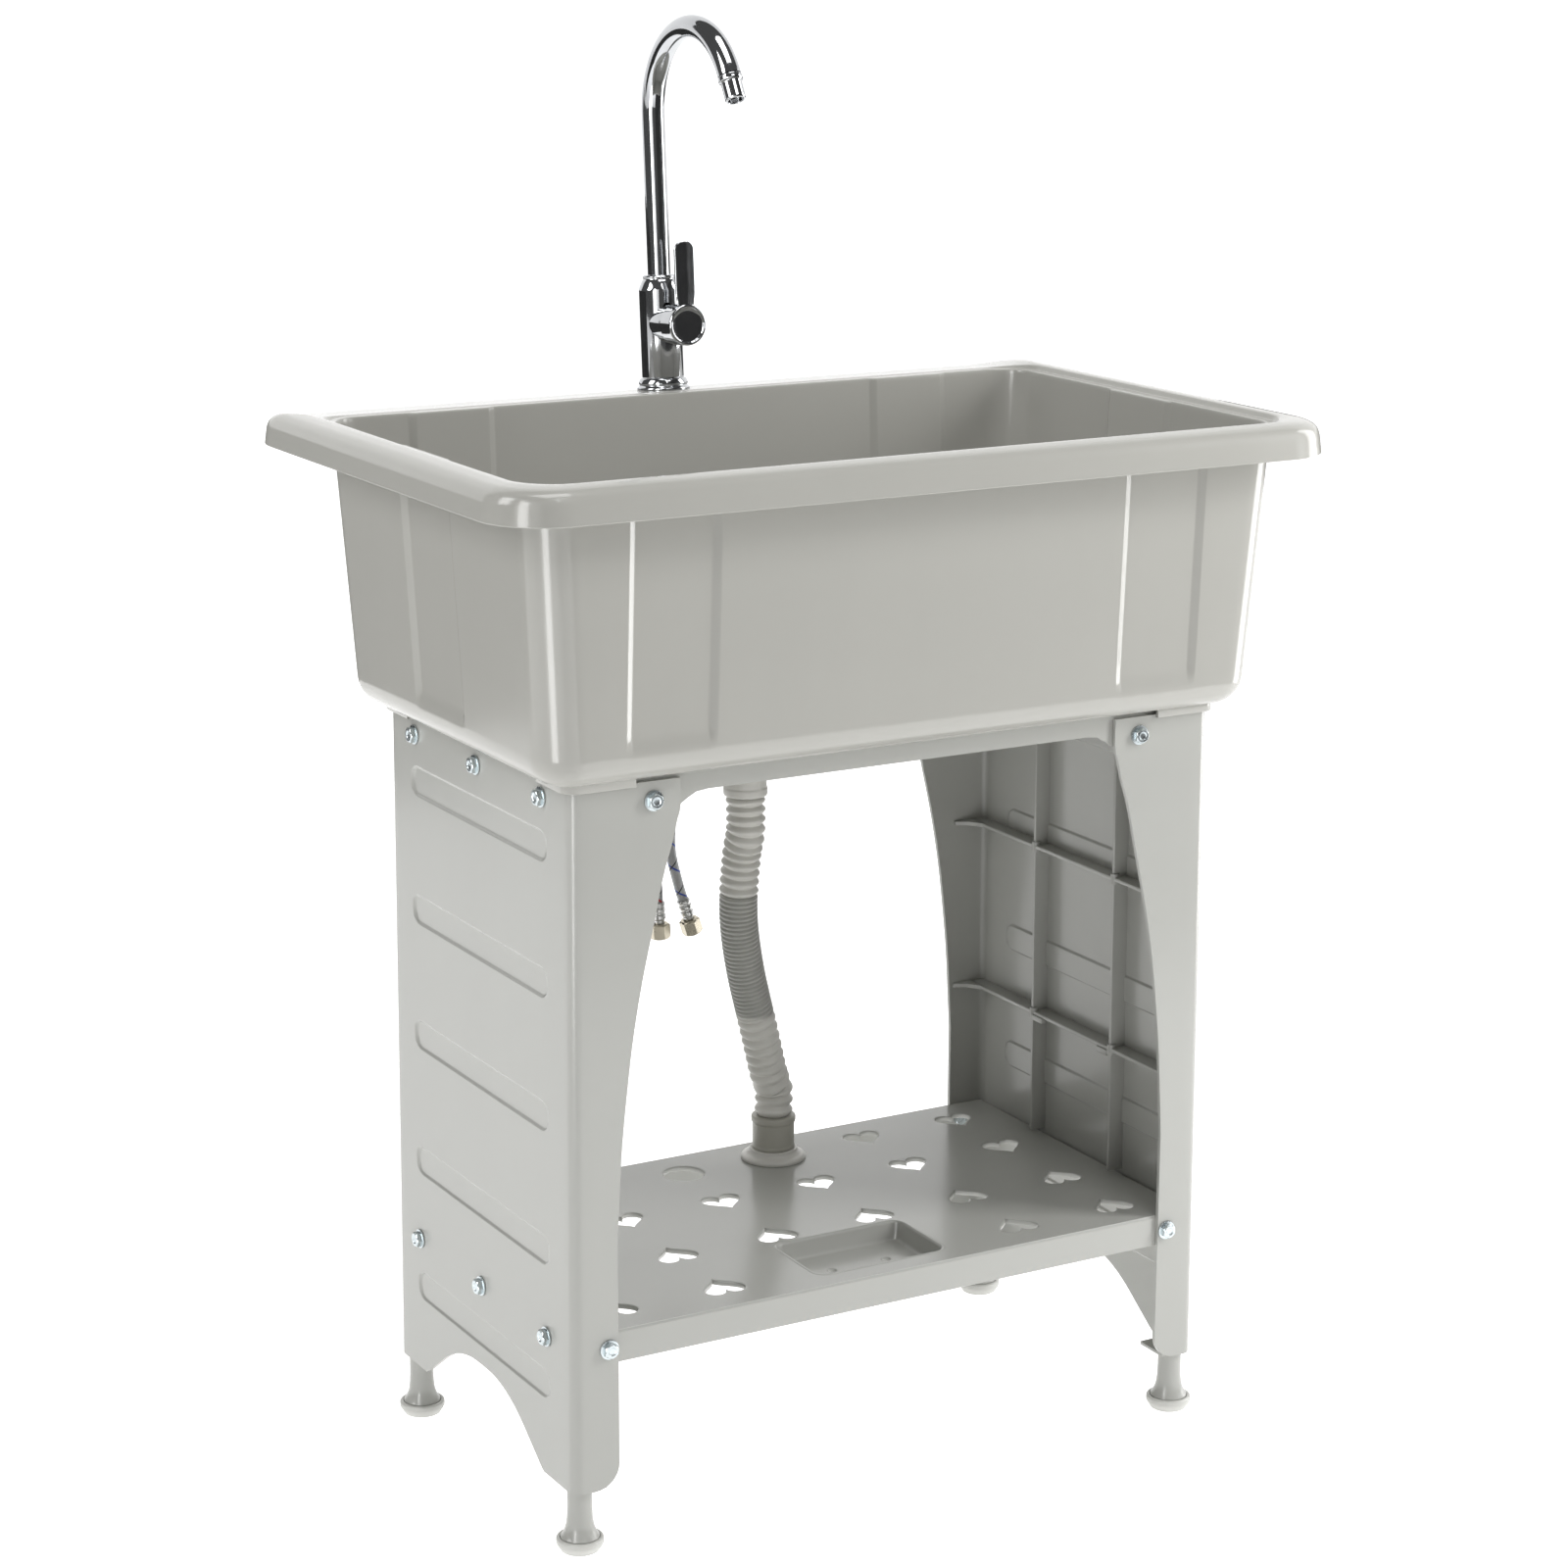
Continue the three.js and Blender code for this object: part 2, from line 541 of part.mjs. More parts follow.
function makeBasin() {
  const floorZ = BOWL_BOTTOM + FLOOR_THICK;
  const innerRadius = BOTTOM_RADIUS - WALL;
  const underRim = WALL;
  const backShoulder = DECK_BACK_Z - DECK_EDGE_DROP;
  const out = (share) => [SIDE_OUT * share, FRONT_OUT * share];
  const rings = [
    ...bottomCurve(BOWL_BOTTOM, BOTTOM_RADIUS, WALL, FLUTE_DEPTH),
    rimRing(WALL, WALL, WALL, OPENING_CORNER + WALL, LEDGE_Z - underRim, LEDGE_Z - underRim, FLUTE_DEPTH),
    rimRing(
      SIDE_OUT - WALL, FRONT_OUT - WALL, BACK_OUT - DECK_EDGE, SHOULDER_CORNER - WALL,
      SHOULDER_Z - underRim, DECK_BACK_Z - underRim,
    ),
    rimRing(
      SIDE_OUT - WALL, FRONT_OUT - WALL, BACK_OUT - WALL, SHOULDER_CORNER - WALL,
      SHOULDER_Z - underRim, backShoulder - underRim,
    ),
    rimRing(
      SIDE_OUT + RIM_FLARE - WALL, FRONT_OUT + RIM_FLARE - WALL, BACK_OUT + RIM_FLARE - WALL,
      RIM_CORNER - WALL, LIP_BOTTOM, LIP_BOTTOM,
    ),
    rimRing(
      SIDE_OUT + RIM_FLARE, FRONT_OUT + RIM_FLARE, BACK_OUT + RIM_FLARE, RIM_CORNER,
      LIP_BOTTOM, LIP_BOTTOM,
    ),
    rimRing(
      SIDE_OUT + 0.4, FRONT_OUT + 0.4, BACK_OUT + 0.4, SHOULDER_CORNER,
      SHOULDER_Z - 2, backShoulder - 2,
    ),
    rimRing(...out(0.94), BACK_OUT - 3, SHOULDER_CORNER - 2, SHOULDER_Z + 2, backShoulder + 2),
    rimRing(...out(0.75), BACK_OUT - DECK_EDGE, SHOULDER_CORNER - 7, RIM_HEIGHT - 1.6, DECK_BACK_Z),
    rimRing(...out(CROWN_IN), BACK_OUT * 0.45, 32, RIM_HEIGHT, deckZ(BACK_OUT * 0.45)),
    rimRing(
      LEDGE_WIDTH + 2, LEDGE_WIDTH + 2, LEDGE_WIDTH + 2, OPENING_CORNER + LEDGE_WIDTH + 2,
      RIM_HEIGHT - 1, LEDGE_Z,
    ),
    rimRing(
      LEDGE_WIDTH, LEDGE_WIDTH, LEDGE_WIDTH, OPENING_CORNER + LEDGE_WIDTH,
      LEDGE_Z, LEDGE_Z,
    ),
    rimRing(1, 1, 1, OPENING_CORNER + 1, LEDGE_Z, LEDGE_Z, FLUTE_DEPTH),
    wallRing(LEDGE_Z - 1.5, 0, FLUTE_DEPTH),
    ...bottomCurve(floorZ, innerRadius, 0, FLUTE_DEPTH).reverse(),
  ];
  const skin = loft([0, DRAIN_Y, BOWL_BOTTOM], rings, [0, DRAIN_Y, floorZ - FLOOR_FALL]);
  const boss = rod(DRAIN_BOSS, BOWL_BOTTOM - DRAIN_BOSS_DROP, BOWL_BOTTOM + 1);
  boss.translate(0, DRAIN_Y, 0);
  const seatZ = floorZ - FLOOR_FALL - SEAT_DEPTH;
  const seat = turned([
    [0, BOWL_BOTTOM - DRAIN_BOSS_DROP - OVERSHOOT],
    [DRAIN_HOLE, BOWL_BOTTOM - DRAIN_BOSS_DROP - OVERSHOOT],
    [DRAIN_HOLE, seatZ],
    [DRAIN_SEAT, seatZ],
    [DRAIN_SEAT + 3, floorZ + 1],
    [0, floorZ + 1],
  ]);
  seat.translate(0, DRAIN_Y, 0);
  const tapHole = rod(SHANK_RADIUS + HOLE_GAP, -WALL * 3, WALL * 3);
  tapHole.rotateX(-DECK_SLOPE).translate(0, TAP_Y, TAP_Z);
  const pieces = [skin, boss];
  const lipTop = BOWL_BOTTOM + 1;
  const lipBottom = BOWL_BOTTOM - LIP_DROP;
  const lipX = faceX(BOWL_BOTTOM - LIP_DROP) + GAP;
  const lipY = HALF_DEPTH + GAP;
  const outerX = lipX + LIP_THICK;
  const outerY = lipY + LIP_THICK;
  const corner = cornerPoints(outerX, outerY, PANEL_CORNER + GAP + LIP_THICK);
  const inside = cornerPoints(lipX, lipY, PANEL_CORNER + GAP).reverse();
  const lip = [
    [outerX, LIP_SIDE_FROM],
    ...corner,
    [LIP_FRONT_FROM, outerY],
    [LIP_FRONT_FROM, lipY],
    ...inside,
    [lipX, LIP_SIDE_FROM],
  ];
  for (const sx of [-1, 1]) {
    for (const sy of [-1, 1]) {
      const shape = outline(lip.map(([x, y]) => [sx * x, sy * y]));
      pieces.push(alongZ(shape, lipBottom, lipTop).translate(0, STAND_Y, 0));
    }
  }
  return cut(join(...pieces), seat, tapHole);
}

// ---- The stand's side panels: a U in plan, curved along its flanges and arched between its feet ----
const faceX = (z) => HALF_WIDTH + ((STAND_TOP + STAND_BOTTOM) / 2 - z) * SIDE_LEAN;

// Spread a shape drawn for the upright side face out to the leaning one.
function leanOut(geometry) {
  const lean = new THREE.Matrix4().makeShear(0, 0, 0, 0, -SIDE_LEAN, 0);
  const middle = (STAND_TOP + STAND_BOTTOM) / 2;
  return geometry.translate(0, 0, -middle).applyMatrix4(lean).translate(0, 0, middle);
}

function uSection(halfX, halfY, corner) {
  const shape = new THREE.Shape();
  shape.moveTo(0, -halfY);
  shape.lineTo(halfX - corner, -halfY);
  shape.absarc(halfX - corner, -halfY + corner, corner, -Math.PI / 2, 0);
  shape.lineTo(halfX, halfY - corner);
  shape.absarc(halfX - corner, halfY - corner, corner, 0, Math.PI / 2);
  shape.lineTo(0, halfY);
  return shape;
}

function capsule(level, x0, x1, inset = 0) {
  const r = CAPSULE_HEIGHT / 2 - inset;
  const reach = CAPSULE_LENGTH / 2 - CAPSULE_HEIGHT / 2;
  const shape = new THREE.Shape();
  shape.moveTo(-reach, level - r);
  shape.lineTo(reach, level - r);
  shape.absarc(reach, level, r, -Math.PI / 2, Math.PI / 2);
  shape.lineTo(-reach, level + r);
  shape.absarc(-reach, level, r, Math.PI / 2, 1.5 * Math.PI);
  return alongX(shape, x0, x1, 2);
}

function footPost() {
  return turned([
    [0, CUP_FLOOR + GAP],
    [POST_FLARE, CUP_FLOOR + GAP],
    [POST_FLARE, CUP_HEIGHT + 0.6],
    [POST_FLARE - 1.6, CUP_HEIGHT + 2.6],
    [POST_RADIUS + 1.6, CUP_HEIGHT + 7],
    [POST_RADIUS, CUP_HEIGHT + 20],
    [POST_RADIUS, STAND_BOTTOM + 1],
    [0, STAND_BOTTOM + 1],
  ], POST_SEGMENTS).translate(FOOT_X, 0, 0);
}

function makePanel() {
  const halfX = HALF_WIDTH;
  const halfY = HALF_DEPTH;
  const innerX = halfX - PANEL_WALL;
  const innerY = halfY - PANEL_WALL;
  const shell = alongZ(uSection(halfX, halfY, PANEL_CORNER), STAND_BOTTOM, STAND_TOP, 3);
  const inner = uSection(innerX, innerY, PANEL_CORNER - PANEL_WALL);
  const hollow = alongZ(inner, STAND_BOTTOM - OVERSHOOT, STAND_TOP + OVERSHOOT, 2);
  const last = FLANGE_CURVE[FLANGE_CURVE.length - 1][0];
  const edge = new THREE.Shape();
  edge.moveTo(-halfX / 2, STAND_TOP + OVERSHOOT);
  edge.lineTo(-halfX / 2, STAND_BOTTOM - OVERSHOOT);
  edge.lineTo(last + FLANGE_FOOT_RADIUS, STAND_BOTTOM - OVERSHOOT);
  edge.lineTo(last + FLANGE_FOOT_RADIUS, STAND_BOTTOM);
  const footY = STAND_BOTTOM + FLANGE_FOOT_RADIUS;
  edge.absarc(last + FLANGE_FOOT_RADIUS, footY, FLANGE_FOOT_RADIUS, -Math.PI / 2, -Math.PI, true);
  [...FLANGE_CURVE].reverse().forEach(([x, z]) => edge.lineTo(x, z));
  edge.lineTo(FLANGE_CURVE[0][0], STAND_TOP + OVERSHOOT);
  const between = alongY(edge, -halfY - OVERSHOOT, halfY + OVERSHOOT, 3);

  const arch = outline([
    ...ARCH_CURVE,
    [ARCH_CURVE[ARCH_CURVE.length - 1][0], STAND_BOTTOM - OVERSHOOT],
    [-ARCH_CURVE[ARCH_CURVE.length - 1][0], STAND_BOTTOM - OVERSHOOT],
    ...[...ARCH_CURVE].reverse().slice(0, -1).map(([y, z]) => [-y, z]),
  ]);
  const underArch = alongX(arch, innerX - OVERSHOOT, halfX + OVERSHOOT);

  const pads = [];
  const grooves = [];
  for (const level of CAPSULE_LEVELS) {
    pads.push(leanOut(capsule(level, innerX - CAPSULE_DEPTH, innerX + 1)));
    grooves.push(leanOut(capsule(level, halfX - CAPSULE_DEPTH, halfX + OVERSHOOT, CAPSULE_DEPTH)));
  }
  const ribs = [];
  const half = RIB_THICK / 2;
  for (const level of RIB_LEVELS) {
    ribs.push(leanOut(
      block(RIB_INNER, innerX + 1, -innerY - 1, innerY + 1, level - half, level + half),
    ));
    for (const side of [-1, 1]) {
      const gusset = outline([
        [RIB_INNER + 1, side * (innerY - GUSSET_REACH)],
        [RIB_INNER + 1, side * (innerY + 1)],
        [RIB_INNER - GUSSET_DEPTH, side * (innerY + 1)],
        [RIB_INNER - GUSSET_DEPTH, side * (innerY - RIB_THICK)],
      ]);
      ribs.push(leanOut(alongZ(gusset, level - half, level + half)));
    }
  }
  for (const offset of RIB_OFFSETS) {
    const foot = SHELF_TOP + RIB_THICK;
    ribs.push(leanOut(block(RIB_INNER, innerX + 1, offset - half, offset + half, foot, RIB_TOP)));
  }
  const corners = [];
  for (const side of [-1, 1]) {
    const y0 = side > 0 ? innerY - FOOT_BLOCK + PANEL_WALL : -innerY - 1;
    const y1 = side > 0 ? innerY + 1 : -innerY + FOOT_BLOCK - PANEL_WALL;
    const postX = FOOT_X - POST_FLARE - 2;
    corners.push(block(postX, innerX + 1, y0, y1, STAND_BOTTOM, STAND_BOTTOM + PANEL_WALL));
    corners.push(footPost().translate(0, side * FOOT_Y, 0));
  }
  const holes = [];
  for (const y of UPPER_SIDE_BOLTS) {
    holes.push(boltHole().rotateY(Math.PI / 2).translate(halfX, y, UPPER_BOLT_Z));
  }
  for (const y of LOWER_SIDE_BOLTS) {
    holes.push(boltHole().rotateY(Math.PI / 2).translate(halfX, y, LOWER_BOLT_Z));
  }
  for (const side of [-1, 1]) {
    const turn = side * -Math.PI / 2;
    holes.push(boltHole().rotateX(turn).translate(UPPER_FACE_BOLT, side * halfY, UPPER_BOLT_Z));
    holes.push(boltHole().rotateX(turn).translate(LOWER_FACE_BOLT, side * halfY, LOWER_BOLT_Z));
  }
  const walls = cut(leanOut(cut(shell, hollow, underArch)), between);
  return cut(join(walls, ...pads, ...ribs, ...corners), ...grooves, ...holes);
}

// ---- Bolts: a hexagon head with its washer face, a shank, and a nut inside ----
function boltHole() {
  return rod(BOLT_RADIUS + HOLE_GAP, -20, 20, 6);
}

function makeBolt(grip) {
  const top = WASHER_THICK + HEAD_HEIGHT;
  const nutEnd = -grip - NUT_HEIGHT;
  return turned([
    [0, nutEnd],
    [HEAD_RADIUS, nutEnd],
    [HEAD_RADIUS, -grip],
    [BOLT_RADIUS, -grip],
    [BOLT_RADIUS, 0],
    [WASHER_RADIUS, 0],
    [WASHER_RADIUS, WASHER_THICK],
    [HEAD_RADIUS, WASHER_THICK],
    [HEAD_RADIUS, top],
    [0, top],
  ], 6);
}

// ---- Bracing frame: a ledge that carries the bowl, with an apron all round ----
function makeFrame() {
  const halfX = faceX(STAND_TOP) - PANEL_WALL - GAP;
  const halfY = HALF_DEPTH - PANEL_WALL - GAP;
  const top = FRAME_TOP;
  const corner = PANEL_CORNER - PANEL_WALL + 1;
  const body = alongZ(roundedBox(halfX, halfY, corner), APRON_DEEP, top, 3);
  const inner = roundedBox(halfX - FRAME_WALL, halfY - FRAME_WALL, corner - FRAME_WALL);
  const under = alongZ(inner, APRON_DEEP - OVERSHOOT, top - FRAME_WALL, 3);
  const windows = [];
  const middle = FRAME_RIB_X - FRAME_RIB_WIDTH / 2;
  const outerX = halfX - FRAME_LEDGE;
  const windowY = halfY - FRAME_LEDGE;
  windows.push(block(-middle, middle, -windowY, windowY, APRON_DEEP, top + OVERSHOOT));
  for (const side of [-1, 1]) {
    const from = side > 0 ? FRAME_RIB_X + FRAME_RIB_WIDTH / 2 : -outerX;
    const to = side > 0 ? outerX : -FRAME_RIB_X - FRAME_RIB_WIDTH / 2;
    windows.push(block(from, to, -windowY, windowY, APRON_DEEP, top + OVERSHOOT));
  }
  const arch = outline([
    [-APRON_ARCH_TO - 4, APRON_DEEP - OVERSHOOT],
    [-APRON_ARCH_TO - 4, APRON_DEEP],
    [-APRON_ARCH_TO, APRON_DEEP + 3],
    [-(APRON_ARCH_FROM + APRON_ARCH_TO) / 2, APRON_BOTTOM - 5],
    [-APRON_ARCH_FROM - 3, APRON_BOTTOM - 1],
    [-APRON_ARCH_FROM + 6, APRON_BOTTOM],
    [APRON_ARCH_FROM - 6, APRON_BOTTOM],
    [APRON_ARCH_FROM + 3, APRON_BOTTOM - 1],
    [(APRON_ARCH_FROM + APRON_ARCH_TO) / 2, APRON_BOTTOM - 5],
    [APRON_ARCH_TO, APRON_DEEP + 3],
    [APRON_ARCH_TO + 4, APRON_DEEP],
    [APRON_ARCH_TO + 4, APRON_DEEP - OVERSHOOT],
  ]);
  const arches = alongY(arch, -halfY - OVERSHOOT, halfY + OVERSHOOT);
  const ribs = [];
  for (const side of [-1, 1]) {
    for (const edge of [-1, 1]) {
      const x = side * FRAME_RIB_X + edge * (FRAME_RIB_WIDTH / 2 - FRAME_WALL / 2);
      const half = FRAME_WALL / 2;
      ribs.push(block(x - half, x + half, -halfY + 1, halfY - 1, APRON_BOTTOM, top - 1));
    }
  }
  const holes = [];
  for (const side of [-1, 1]) {
    for (const y of UPPER_SIDE_BOLTS) {
      holes.push(boltHole().rotateY(Math.PI / 2).translate(side * halfX, y, UPPER_BOLT_Z));
    }
    for (const end of [-1, 1]) {
      const x = side * UPPER_FACE_BOLT;
      holes.push(boltHole().rotateX(Math.PI / 2).translate(x, end * halfY, UPPER_BOLT_Z));
    }
  }
  const drain = rod(DRAIN_BOSS + 3, APRON_DEEP, top + OVERSHOOT);
  drain.translate(0, DRAIN_Y - STAND_Y, 0);
  const shell = cut(body, under, ...windows, arches);
  return cut(join(shell, ...ribs), ...holes, drain);
}

// ---- Shelf ----
// A heart whose point is towards +Y when size is positive.
function heart(x, y, size) {
  const points = [];
  const count = 10;
  for (let i = 0; i < count; i++) {
    const a = (i / count) * 2 * Math.PI;
    const across = 16 * Math.sin(a) ** 3;
    const along = 13 * Math.cos(a) - 5 * Math.cos(2 * a) - 2 * Math.cos(3 * a) - Math.cos(4 * a);
    points.push([x + (Math.abs(size) * across) / 16, y - (size * (along + 2.5)) / 16]);
  }
  return outline(points);
}

function makeShelf() {
  const halfX = faceX(SHELF_TOP) - PANEL_WALL - GAP;
  const halfY = HALF_DEPTH - PANEL_WALL - GAP;
  const corner = PANEL_CORNER - PANEL_WALL + 1;
  const lower = alongZ(roundedBox(halfX, halfY, corner), SKIRT_BOTTOM, SHELF_TOP - SHELF_EDGE, 3);
  const upper = alongZ(
    roundedBox(halfX - SHELF_EDGE / 2, halfY - SHELF_EDGE / 2, corner),
    SHELF_TOP - SHELF_EDGE - 0.5, SHELF_TOP, 3,
  );
  const inner = roundedBox(halfX - SKIRT_THICK, halfY - SKIRT_THICK, corner - SKIRT_THICK);
  const under = alongZ(inner, SKIRT_BOTTOM - OVERSHOOT, SHELF_TOP - SHELF_THICK, 3);
  const plateBottom = SHELF_TOP - SHELF_THICK;
  const ribs = [];
  const half = SKIRT_THICK / 2;
  for (const x of SHELF_RIB_OFFSETS) {
    const ribBottom = plateBottom - SHELF_RIB_DEPTH;
    ribs.push(block(x - half, x + half, -halfY + 1, halfY - 1, ribBottom, plateBottom + 1));
  }
  const ribEnd = Math.max(...SHELF_RIB_OFFSETS);
  ribs.push(block(-ribEnd, ribEnd, -half, half, plateBottom - SHELF_RIB_DEPTH, plateBottom + 1));
  const trayFloor = SHELF_TOP - TRAY_SINK;
  const trayShell = alongZ(
    roundedBox(TRAY_WIDTH / 2 + 1, TRAY_DEPTH / 2 + 1, TRAY_CORNER + 1),
    trayFloor - SHELF_THICK, plateBottom + 1, 2,
  );
  trayShell.translate(0, TRAY_Y, 0);
  const steps = 2;
  const trayRing = (inset, z) =>
    roundedBox(TRAY_WIDTH / 2 - inset, TRAY_DEPTH / 2 - inset, TRAY_CORNER - inset)
      .getPoints(steps)
      .slice(0, -1)
      .map((p) => [p.x, p.y + TRAY_Y, z]);
  const trayHollow = loft(
    [0, TRAY_Y, trayFloor],
    [trayRing(TRAY_TAPER, trayFloor), trayRing(0, SHELF_TOP - 1), trayRing(-1.5, SHELF_TOP + 1)],
    [0, TRAY_Y, SHELF_TOP + 1],
  );
  const holes = [];
  for (const x of [-TRAY_HOLE_X, TRAY_HOLE_X]) {
    holes.push(rod(TRAY_HOLE, trayFloor - SHELF_THICK - 1, trayFloor + 1, 8).translate(x, TRAY_Y + 4, 0));
  }
  for (const x of [-HOSE_HOLE_X, HOSE_HOLE_X]) {
    holes.push(rod(HOSE_HOLE, plateBottom - 1, SHELF_TOP + 1, 20).translate(x, HOSE_HOLE_Y, 0));
  }
  for (const [row, y] of HEART_ROWS.entries()) {
    for (const x of HEART_COLUMNS) {
      const nearMiddle = Math.abs(x) < TRAY_WIDTH / 2;
      const outerRow = row === 0 || row === HEART_ROWS.length - 1;
      if (nearMiddle && outerRow) continue;
      holes.push(alongZ(heart(x, y, y < 0 ? HEART_SIZE : -HEART_SIZE), plateBottom - 1, SHELF_TOP + 1));
    }
  }
  for (const side of [-1, 1]) {
    for (const y of LOWER_SIDE_BOLTS) {
      holes.push(boltHole().rotateY(Math.PI / 2).translate(side * halfX, y, LOWER_BOLT_Z));
    }
    for (const end of [-1, 1]) {
      const x = side * LOWER_FACE_BOLT;
      holes.push(boltHole().rotateX(Math.PI / 2).translate(x, end * halfY, LOWER_BOLT_Z));
    }
  }
  const shell = cut(join(lower, upper), under);
  return cut(join(shell, ...ribs, trayShell), trayHollow, ...holes);
}

// ---- Feet: a soft cup under each post ----
function makeCup() {
  return turned([
    [0, 0],
    [CUP_BASE_RADIUS, 0],
    [CUP_BASE_RADIUS + 0.6, 1.6],
    [CUP_RADIUS - 0.8, 3.4],
    [CUP_RADIUS, 5.5],
    [CUP_RADIUS, CUP_HEIGHT - 1],
    [CUP_RADIUS - 1, CUP_HEIGHT],
    [POST_FLARE + GAP, CUP_HEIGHT],
    [POST_FLARE + GAP, CUP_FLOOR],
    [0, CUP_FLOOR],
  ], POST_SEGMENTS);
}

// ---- Drain ----
const SEAT_Z = BOWL_BOTTOM + FLOOR_THICK - FLOOR_FALL - SEAT_DEPTH;
const UNDER_BOSS = BOWL_BOTTOM - DRAIN_BOSS_DROP;
const NECK_RADIUS = DRAIN_HOLE - GAP - 0.2;
const CUP_Z = SEAT_Z - CUP_DEPTH;

function makeStrainer() {
  const flangeTop = SEAT_Z + GAP + STRAINER_FLANGE;
  const shell = turnedRing([
    [TAIL_BORE, TAIL_BOTTOM],
    [TAIL_RADIUS, TAIL_BOTTOM],
    [TAIL_RADIUS, CUP_Z - CUP_WALL],
    [NECK_RADIUS, CUP_Z - CUP_WALL],
    [NECK_RADIUS, SEAT_Z + GAP],
    [DRAIN_SEAT - 0.6, SEAT_Z + GAP],
    [DRAIN_SEAT - 0.6, flangeTop - 0.4],
    [DRAIN_SEAT - 3, flangeTop],
    [NECK_RADIUS - CUP_WALL + STRAINER_CONE, flangeTop],
    [NECK_RADIUS - CUP_WALL, flangeTop - BASKET_LEVEL],
    [NECK_RADIUS - CUP_WALL, CUP_Z],
    [TAIL_BORE, CUP_Z],
  ]);
  const bars = [0, Math.PI / 2].map((turn) =>
    block(-TAIL_BORE - 1, TAIL_BORE + 1, -1, 1, CUP_Z - CUP_WALL, CUP_Z).rotateZ(turn),
  );
  return join(shell, ...bars).translate(0, DRAIN_Y, 0);
}

function makeBasket() {
  const rim = SEAT_Z + GAP + STRAINER_FLANGE;
  const outer = NECK_RADIUS - CUP_WALL - 1;
  const bottom = CUP_Z + 3;
  const lip = NECK_RADIUS + 2;
  const throat = NECK_RADIUS - CUP_WALL;
  const cone = (r) => rim - BASKET_LEVEL * (1 - (r - throat) / STRAINER_CONE) + GAP + 0.1;
  const bowl = turned([
    [0, bottom],
    [outer - 3, bottom],
    [outer, bottom + 3],
    [outer, cone(outer)],
    [lip, cone(lip)],
    [lip, rim + 0.4],
    [outer - 1, rim + 0.4],
    [outer - 1, bottom + BASKET_CORNER + 0.4],
    [outer - BASKET_CORNER - 0.4, bottom + BASKET_FLOOR],
    [BASKET_STEM_RADIUS, bottom + BASKET_FLOOR],
    [BASKET_STEM_RADIUS, rim - 1],
    [BASKET_KNOB_RADIUS, rim + 1],
    [BASKET_KNOB_RADIUS, rim + 3],
    [BASKET_KNOB_RADIUS - 1.5, rim + 4.2],
    [0, rim + 4.2],
  ], 12);
  const holes = [];
  for (let i = 0; i < BASKET_HOLES; i++) {
    const turn = (i / BASKET_HOLES) * 2 * Math.PI;
    const hole = rod(BASKET_HOLE_RADIUS, bottom - 1, bottom + 2 * BASKET_FLOOR, BASKET_HOLE_SIDES);
    holes.push(hole.translate((outer - BASKET_CORNER) * BASKET_HOLE_ROW, 0, 0).rotateZ(turn));
  }
  return cut(bowl, ...holes).translate(0, DRAIN_Y, 0);
}

function makeGasket() {
  const top = UNDER_BOSS - GAP;
  const ring = tube(DRAIN_HOLE + GASKET_WIDTH, NECK_RADIUS + GAP, top - GASKET_THICK, top);
  return ring.translate(0, DRAIN_Y, 0);
}

function makeLocknut() {
  const top = UNDER_BOSS - GAP - GASKET_THICK - GAP;
  const bottom = top - LOCKNUT_HEIGHT;
  const outer = DRAIN_HOLE + LOCKNUT_WIDTH;
  const ring = tube(outer, NECK_RADIUS + GAP, bottom, top);
  const lugs = [];
  for (let i = 0; i < LUG_COUNT; i++) {
    const lug = block(outer - 1, outer - 1 + LUG_LENGTH, -LUG_WIDTH / 2, LUG_WIDTH / 2, bottom, top);
    lugs.push(lug.rotateZ((i / LUG_COUNT) * 2 * Math.PI));
  }
  return join(ring, ...lugs).translate(0, DRAIN_Y, 0);
}

function makeSlipNut() {
  const outer = SLEEVE_RADIUS + SLIP_NUT_WALL;
  const top = SLEEVE_TOP + SLIP_NUT_HEIGHT;
  const ring = turnedRing([
    [TAIL_RADIUS + GAP, SLEEVE_TOP + GAP],
    [outer, SLEEVE_TOP + GAP],
    [outer, top - 3],
    [outer - 2, top],
    [TAIL_RADIUS + GAP, top],
  ]);
  return ring.translate(0, DRAIN_Y, 0);
}

function makeSleeve() {
  return turnedRing([
    [SLEEVE_BORE, SLEEVE_BOTTOM],
    [SLEEVE_RADIUS - 0.6, SLEEVE_BOTTOM],
    [SLEEVE_RADIUS, SLEEVE_BOTTOM + 1.5],
    [SLEEVE_RADIUS, SLEEVE_BOTTOM + 7],
    [SLEEVE_RADIUS - 0.6, SLEEVE_BOTTOM + 8],
    [SLEEVE_RADIUS - 0.6, SLEEVE_TOP],
    [SLEEVE_BORE, SLEEVE_TOP],
  ]).translate(0, DRAIN_Y, 0);
}

function makeCuff() {
  return turnedRing([
    [HOSE_BORE + 1, CUFF_BOTTOM],
    [CUFF_RADIUS, CUFF_BOTTOM],
    [CUFF_RADIUS, CUFF_TOP - 5],
    [CUFF_RADIUS + 0.8, CUFF_TOP - 4],
    [CUFF_RADIUS + 0.8, CUFF_TOP - 1],
    [CUFF_RADIUS, CUFF_TOP],
    [HOSE_BORE + 1, CUFF_TOP],
  ]).translate(HOSE_HOLE_X, STAND_Y + HOSE_HOLE_Y, 0);
}

